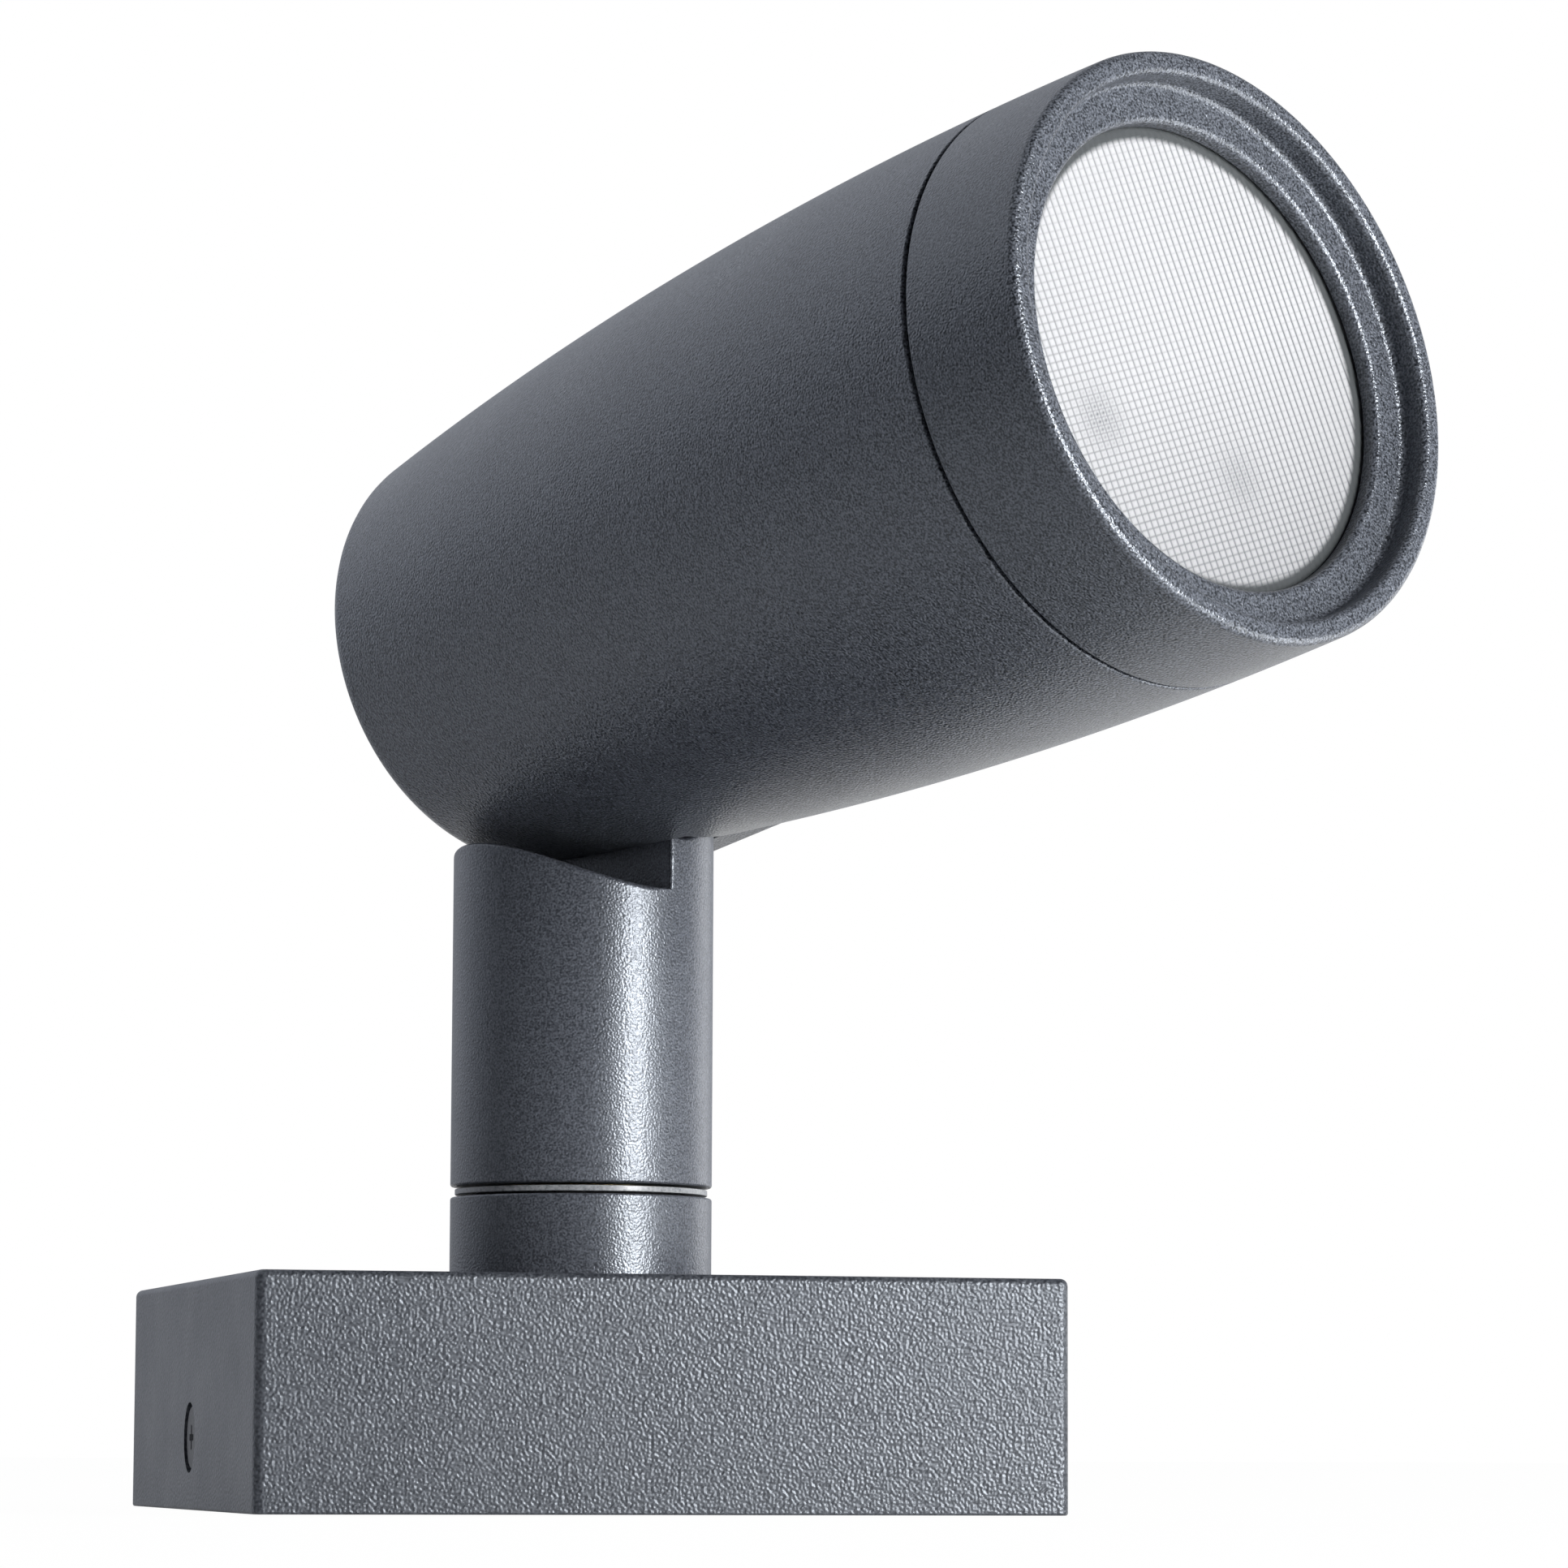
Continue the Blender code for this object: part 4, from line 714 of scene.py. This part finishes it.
def add_post():
    """Post from two half skins, of which the far one has the hinge tongue, with its holes cut."""
    mesh = bmesh.new()
    back = math.acos((PIVOT_ALONG - TONGUE_RADIUS) / POST_RADIUS)
    half = POST_STEPS // 2
    far_angles = [math.pi * step / half for step in range(half + 1)]
    far_angles = sorted(far_angles + [back - TONGUE_BACK_TURN, back + TONGUE_BACK_TURN])
    near_angles = [2 * math.pi - angle for angle in reversed(far_angles)]
    for angles, near in ((far_angles, False), (near_angles, True)):
        columns = [post_column(angle, near) for angle in angles]
        grid = [[mesh.verts.new(POST @ point) for point in column] for column in columns]
        for one, other in zip(grid, grid[1:]):
            for step in range(len(one) - 1):
                mesh.faces.new((one[step], other[step], other[step + 1], one[step + 1]))
    bmesh.ops.remove_doubles(mesh, verts=mesh.verts, dist=WELD)
    bmesh.ops.dissolve_degenerate(mesh, dist=WELD, edges=mesh.edges)
    corner = Vector((POST_RADIUS, 0, SADDLE_LOW - WELD))
    inverse = POST.inverted()
    upright = []
    for edge in mesh.edges:
        offsets = [inverse @ vert.co - corner for vert in edge.verts]
        if all(offset.xy.length < WELD and offset.z > 0 for offset in offsets):
            upright.append(edge)
    bmesh.ops.bevel(mesh, geom=upright, offset=TONGUE_EDGE, segments=TONGUE_EDGE_STEPS,
                    profile=TONGUE_EDGE_PROFILE, affect="EDGES")
    spot = POST_RADIUS - SPOT_FACE_DEPTH
    lead = axes(LEVEL * LEAD_OUT_ALONG + ACROSS * LEAD_OUT_ACROSS, LEVEL, ACROSS, UP)
    grub = axes(Vector((0, 0, POST_BOTTOM + BUSH_HEIGHT / 2)), ACROSS, UP, -LEVEL)
    hinge = axes(PIVOT, UP, LEVEL, ACROSS) @ Matrix.Rotation(math.pi / SMALL_STEPS, 4, "Z")
    cuts = [disc(lead, LEAD_HOLE, CHAMBER_TOP - OVERSHOOT, PIVOT.z + TONGUE_RADIUS),
            disc(grub, GRUB_HOLE, BUSH_SEAT - OVERSHOOT, POST_RADIUS + OVERSHOOT),
            stepped(hinge, [(WASHER_RECESS, -OVERSHOOT, WASHER_RECESS_DEPTH),
                            (HINGE_HOLE, WASHER_RECESS_DEPTH, spot),
                            (SPOT_FACE_RADIUS, spot, POST_RADIUS + OVERSHOOT)])]
    place_piece(carve(settle(mesh, "post"), cuts), "swivel_post", COATED)


# Head
def cheek_outline(inset):
    """Side view of the hinge cheek, drawn in by an inset."""
    radius = CHEEK_RADIUS - inset
    back = PIVOT_FROM_REAR - CHEEK_INSET - inset
    front = CHEEK_LENGTH - inset
    start = -math.degrees(math.acos(-back / radius))
    curve = arc((0, 0), radius, start, CHEEK_SLOPE_DEGREES - 90, SMALL_STEPS // 2)
    low = curve[-1].y + (front - curve[-1].x) * math.tan(math.radians(CHEEK_SLOPE_DEGREES))
    return curve + [(front, low), (front, CHEEK_ROOT), (-back, CHEEK_ROOT)]


def cheek_mesh():
    """Hinge cheek, round the pivot with a ramp that runs forward into the head."""
    levels = [(SLOT_FAR_SIDE - OVERSHOOT, cheek_outline(0))]
    for inset, height in quarter(CHEEK_EDGE):
        levels.append((CHEEK_FACE - CHEEK_EDGE + height, cheek_outline(inset)))
    return loft(levels, SIDE)


def slot_mesh():
    """All that the tongue sweeps as the head goes from level to upright."""
    roof = TONGUE_RADIUS + RUNNING_GAP
    corner = Vector((POST_RADIUS - PIVOT_ALONG, TONGUE_CORNER - PIVOT.z))
    tangent = math.atan2(corner.y, corner.x) + math.acos(TONGUE_RADIUS / corner.length)
    outward = Vector((math.cos(tangent), math.sin(tangent))) * RUNNING_GAP
    wall = corner.x + RUNNING_GAP
    knee = corner.y + outward.y + (corner.x + outward.x - wall) / math.tan(-tangent)
    far = -2 * PIVOT_FROM_REAR
    low = -2 * HEAD_RADIUS
    outline = arc((0, 0), roof, math.degrees(tangent), 90, SLOT_STEPS)
    outline += [(far, roof), (far, low), (wall, low), (wall, knee)]
    return loft([(-GAP, outline), (SLOT_FAR_SIDE, outline)], SIDE)


def add_head():
    """Head shell with its hinge cheek, slot and holes, and the hinge bolt."""
    floor = driver_low.z - GAP
    seat = carrier_low.z - GAP
    bore = carrier_high.y + GAP
    rear_bore = min(head_radius(floor) - HEAD_WALL, bore - GAP - CARRIER_STEP)
    rebate = seal_low.z - GAP
    seal = seal_high.y + GAP
    heights = [SEAM * step / STATIONS for step in range(STATIONS, FILLET_STATIONS, -1)]
    outer = [(head_radius(height), height, 0) for height in heights]
    outer[0] = (*outer[0][:2], SEAM_EDGE)
    rear = head_radius(0)
    corners = [(0, floor, 0), (rear_bore, floor, 0), (rear_bore, seat, 0), (bore, seat, 0), (bore, rebate, 0),
               (seal, rebate, 0), (seal, SEAM, 0)] + outer + [(rear, 0, HEAD_FILLET), (0, 0, 0)]
    body = settle(turned(rounded(corners, False), HEAD, HEAD_STEPS), "head")
    lead = axes(PIVOT + ACROSS * LEAD_OUT_ACROSS - RISE * LEAD_IN_DROP, ACROSS, RISE, ALONG)
    bolt_seat = CHEEK_FACE - BOLT_HEAD_INSET - BOLT_HEAD_HEIGHT - GAP
    cuts = [slot_mesh(),
            disc(lead, LEAD_HOLE, LEAD_OUT_ALONG, floor - PIVOT_FROM_REAR + OVERSHOOT),
            stepped(HINGE, [(BOLT_HOLE, -BOLT_THREAD, bolt_seat),
                            (BOLT_HEAD_RADIUS + GAP, bolt_seat, HEAD_RADIUS)])]
    place_piece(carve(body, cuts, [cheek_mesh()]), "head_body", HEAD_COATED)
    add_bolt(bolt_seat + GAP)


def add_bolt(seat):
    """Hinge bolt with its socket, and the spacer round it."""
    top = seat + BOLT_HEAD_HEIGHT
    tip = -BOLT_THREAD + GAP
    corners = [(0, tip, 0), (BOLT_RADIUS, tip, BOLT_TIP_EDGE), (BOLT_RADIUS, seat, 0),
               (BOLT_HEAD_RADIUS, seat, 0), (BOLT_HEAD_RADIUS, top, BOLT_HEAD_EDGE), (0, top, 0)]
    bolt = settle(turned(rounded(corners, False), HINGE), "bolt")
    socket = disc(HINGE, BOLT_SOCKET, top - BOLT_SOCKET_DEPTH, top + OVERSHOOT, BOLT_SOCKET_SIDES)
    place_piece(carve(bolt, [socket]), "hinge_bolt", STEEL)
    low, high = reach("hinge_spacer", HINGE)
    spacer = ring(HINGE, BOLT_RADIUS + GAP, high.x, low.z, high.z, SPACER_EDGE, SMALL_STEPS)
    place_piece(settle(spacer, "spacer"), "hinge_spacer", STEEL)


def add_front():
    """Front bezel with its recessed window, and the glass."""
    back = SEAM + SEAM_GAP
    bore = GLASS_RADIUS + GAP
    spigot = bore + SPIGOT_WALL
    span = HEAD_LENGTH - back
    heights = [back + span * step / BEZEL_STATIONS for step in range(BEZEL_STATIONS + 1)]
    outer = [(head_radius(height), height, 0) for height in heights]
    outer[0] = (*outer[0][:2], SEAM_EDGE)
    outer[-1] = (*outer[-1][:2], RIM_ROUND)
    under = FLANGE_FACE - FLANGE_THICKNESS
    corners = outer[:-2] + [outer[-1]] + [
        (RECESS_RADIUS, HEAD_LENGTH, LIP_ROUND), (RECESS_RADIUS, FLANGE_FACE, LIP_ROUND),
        (WINDOW_RADIUS, FLANGE_FACE, LIP_ROUND), (WINDOW_RADIUS, under, WINDOW_EDGE), (bore, under, 0),
        (bore, SEAM - SPIGOT_LENGTH, 0), (spigot, SEAM - SPIGOT_LENGTH, 0), (spigot, back, 0)]
    bezel = settle(turned(rounded(corners), HEAD, HEAD_STEPS), "bezel")
    place_piece(bezel, "front_bezel", BEZEL_COAT_AND_SHADE)
    add_glass()


def prism_grid(pitch):
    """Places across the glass in one direction, each with its rise out of the groove."""
    count = math.ceil(GLASS_RADIUS / pitch) + 1
    places = []
    for cell in range(-count, count):
        for share, rise in zip(PRISM_SHARES, PRISM_RISES):
            places.append(((cell + share) * pitch, rise))
    return places


def clamp(share):
    return min(1, max(0, share))


def prism_tint(x, y, wide, tall):
    """Colour of the glass: painted shade along the grooves and towards the lower right, dark spots, and a dark
    edge over the seat.
    """
    right = clamp((x + GLASS_REACH / 2) / GLASS_REACH)
    low = clamp((CROSS_START - x * CROSS_SLANT - y) / GLASS_REACH)
    # Painted shade along the grooves and the cross grooves
    lines = (GROOVE_SHADE_SHARE + GROOVE_SHADE_SHARE_RIGHT * right) * (1 - clamp(wide * GROOVE_SHADE_FADE))
    crosses = (CROSS_SHADE_SHARE + CROSS_SHADE_SHARE_LOW * low) * (1 - clamp(tall * GROOVE_SHADE_FADE))
    share = max(lines, crosses)
    for across, up, strength in GLASS_SPOTS:
        near = ((x - across) ** 2 + (y - up) ** 2) / SPOT_REACH ** 2
        share = max(share, strength * math.exp(-near) * clamp(wide * tall * SPOT_GAIN - SPOT_CUT))
    # Painted shade, darker towards the lower right
    painted_shade = GLASS_PAINTED_SHADE * clamp((x * GLASS_PAINTED_SHADE_SLANT - y) / GLASS_REACH)
    colour = (GLASS_PALE * (1 - painted_shade)).lerp(GLASS_GROOVE_SHADE, share)
    edge = (math.hypot(x, y) - (WINDOW_RADIUS - CLEAR_EDGE)) / CLEAR_FADE
    return colour.lerp(GLASS_SEAT, clamp(edge))


def add_glass():
    """Glass from a turned grid of prisms, cut to a disc and closed behind."""
    mesh = bmesh.new()
    tint_and_shade = mesh.verts.layers.float_color.new("tint_and_shade")
    turn = Matrix.Rotation(PRISM_TURN, 2)
    columns = prism_grid(PRISM_WIDE)
    rows = prism_grid(PRISM_TALL)
    face = glass_high.z
    grid = []
    for x, wide in columns:
        line = []
        for y, tall in rows:
            spot = turn @ Vector((x, y))
            height = face - PRISM_RELIEF * (1 - wide * (1 - PRISM_CROSS * (1 - tall)))
            vert = mesh.verts.new((-spot.y, spot.x, height))
            # The point's colour carries the painted shade of the grooves and of the lower right
            vert[tint_and_shade] = (*prism_tint(spot.x, spot.y, wide, tall), 1)
            line.append(vert)
        grid.append(line)
    limit = GLASS_RADIUS - PRISM_WIDE / 2
    for one, other in zip(grid, grid[1:]):
        for step in range(len(one) - 1):
            corners = (one[step], other[step], other[step + 1], one[step + 1])
            if all(vert.co.xy.length < limit for vert in corners):
                mesh.faces.new(corners)
    loose = [vert for vert in mesh.verts if not vert.link_faces]
    bmesh.ops.delete(mesh, geom=loose, context="VERTS")
    rim = [vert for vert in mesh.verts if vert.is_boundary]
    rim.sort(key=lambda vert: math.atan2(vert.co.y, vert.co.x))
    lower = []
    for vert in rim:
        scale = GLASS_RADIUS / vert.co.xy.length
        vert.co = (vert.co.x * scale, vert.co.y * scale, face - PRISM_RELIEF)
        below = mesh.verts.new((vert.co.x, vert.co.y, glass_low.z))
        below[tint_and_shade] = vert[tint_and_shade]
        lower.append(below)
    skin(mesh, [rim, lower], False)
    mesh.faces.new(lower)
    for vert in mesh.verts:
        vert.co = HEAD @ vert.co
    place_piece(settle(mesh, "glass"), "front_glass", GLASS)


def dress_nodes():
    """Procedural materials for the nodes that no finer piece replaces."""
    for sub in frame["record"]["subparts"]:
        node = frame["nodes"][sub["node"]]
        node.data.materials.clear()
        node.data.materials.append(BY_SLOT[sub["material_slot"]])


# Studio
CAMERA_PLACE = Vector((-0.15359, -0.69495, 0.00730))
CAMERA_HEADING = math.radians(14.44)
CAMERA_PITCH = math.radians(6.54)
CAMERA_ROLL = math.radians(0.25)
LENS = 133.57
SENSOR = 36.0
CLIP_START = 0.01
AWAY = Vector((math.sin(CAMERA_HEADING), math.cos(CAMERA_HEADING), 0))
RIGHT = Vector((math.cos(CAMERA_HEADING), -math.sin(CAMERA_HEADING), 0))
AIM = Vector((0.02, -0.02, 0.075))
WORLD_DARK = 0.03
WORLD_TINT = (0.92, 0.96, 1.06)
FLOOR_HALF = 4
FLOOR_DROP = 0.0003
FLOOR_COLOUR = (0.90, 0.90, 0.90, 1)
FLOOR_ROUGHNESS = 0.9
FLOOR_SEEN = 0.985
FLOOR_WAY = AWAY * 0.3 + RIGHT * 0.9
FLOOR_SPAN = (-0.05, 0.02)
FLOOR_GLOSS = (0.12, 0.95)


def level_way(bearing):
    """Level direction at a bearing in degrees, right of the way to the camera."""
    angle = math.radians(bearing)
    return RIGHT * math.sin(angle) - AWAY * math.cos(angle)


def add_camera():
    data = bpy.data.cameras.new("camera")
    data.lens = LENS
    data.sensor_width = SENSOR
    data.clip_start = CLIP_START
    camera = bpy.data.objects.new("camera", data)
    turn = (Matrix.Rotation(-CAMERA_HEADING, 4, "Z") @ Matrix.Rotation(math.pi / 2 + CAMERA_PITCH, 4, "X")
            @ Matrix.Rotation(CAMERA_ROLL, 4, "Z"))
    turn.translation = CAMERA_PLACE
    camera.matrix_world = turn
    bpy.context.scene.collection.objects.link(camera)
    bpy.context.scene.camera = camera


def add_light(name, bearing, height, distance, size, power, facing=None):
    """A softbox at a bearing from the object, aimed at it or another way."""
    data = bpy.data.lights.new(name, "AREA")
    data.shape = "RECTANGLE"
    data.size, data.size_y = size
    data.energy = power
    light = bpy.data.objects.new(name, data)
    light.location = AIM + level_way(bearing) * distance + UP * height
    facing = facing or AIM - light.location
    light.rotation_euler = facing.to_track_quat("-Z", "Y").to_euler()
    light.visible_camera = False
    bpy.context.scene.collection.objects.link(light)


def add_floor():
    """Pale floor that glows for the camera, and for glossy rays mostly right of the object."""
    mesh = bmesh.new()
    bmesh.ops.create_grid(mesh, x_segments=1, y_segments=1, size=FLOOR_HALF)
    floor = settle(mesh, "floor")
    floor.location = (0, 0, -FLOOR_DROP)
    material, tree, shader = new_material("pale_floor")
    shader.inputs["Base Color"].default_value = FLOOR_COLOUR
    shader.inputs["Roughness"].default_value = FLOOR_ROUGHNESS
    glow = add_node(tree, "ShaderNodeEmission", in_Strength=1.0)
    mix = add_node(tree, "ShaderNodeMixShader")
    rays = add_node(tree, "ShaderNodeLightPath")
    shine = add_span(tree, add_along(tree, "Object", FLOOR_WAY), FLOOR_SPAN, FLOOR_GLOSS)
    glossy = add_math(tree, "MULTIPLY", rays.outputs["Is Glossy Ray"], shine)
    direct = add_span(tree, rays.outputs["Is Camera Ray"], (0, 1), (0, FLOOR_SEEN))
    tree.links.new(add_math(tree, "MAXIMUM", direct, glossy), mix.inputs["Fac"])
    tree.links.new(shader.outputs["BSDF"], mix.inputs[1])
    tree.links.new(glow.outputs["Emission"], mix.inputs[2])
    tree.links.new(mix.outputs["Shader"], tree.nodes["Material Output"].inputs["Surface"])
    floor.data.materials.append(material)


def add_side(tree, bearing, elevation, span, strength):
    """Light of the world round a direction, growing over a span of the ray's cosine to it."""
    lift = math.radians(elevation)
    way = level_way(bearing) * math.cos(lift) + UP * math.sin(lift)
    return add_span(tree, add_along(tree, "Generated", way), span, (WORLD_DARK, strength))


def add_world():
    """Bright behind the object on both sides, and darker on the camera's side."""
    world = bpy.data.worlds.new("studio")
    bpy.context.scene.world = world
    world.use_nodes = True
    tree = world.node_tree
    back = tree.nodes["Background"]
    left = add_side(tree, bearing=-125, elevation=35, span=(0.60, 0.88), strength=0.86)
    right = add_side(tree, bearing=152, elevation=0, span=(-0.1, 0.9), strength=0.55)
    shade = add_math(tree, "MAXIMUM", left, right)
    rays = add_node(tree, "ShaderNodeLightPath")
    seen = add_math(tree, "MAXIMUM", rays.outputs["Is Camera Ray"], rays.outputs["Is Transmission Ray"])
    tree.links.new(add_blend(tree, seen, WORLD_TINT, (1, 1, 1)), back.inputs["Color"])
    tree.links.new(add_math(tree, "MAXIMUM", seen, shade), back.inputs["Strength"])


def main():
    bpy.context.scene.view_settings.view_transform = "Standard"
    dress_nodes()
    add_base()
    add_swivel()
    add_post()
    add_head()
    add_front()
    add_camera()
    add_light("key", bearing=49, height=0.07, distance=0.9, size=(0.21, 0.66), power=19.8)
    add_light("left", bearing=-85, height=0.90, distance=0.8, size=(1.0, 1.0), power=0.8)
    add_light("rim", bearing=135, height=0.05, distance=1.4, size=(0.7, 0.5), power=2)
    add_light("bounce", bearing=75, height=-0.073, distance=0.42, size=(0.4, 0.4), power=2.5, facing=UP)
    add_floor()
    add_world()


main()
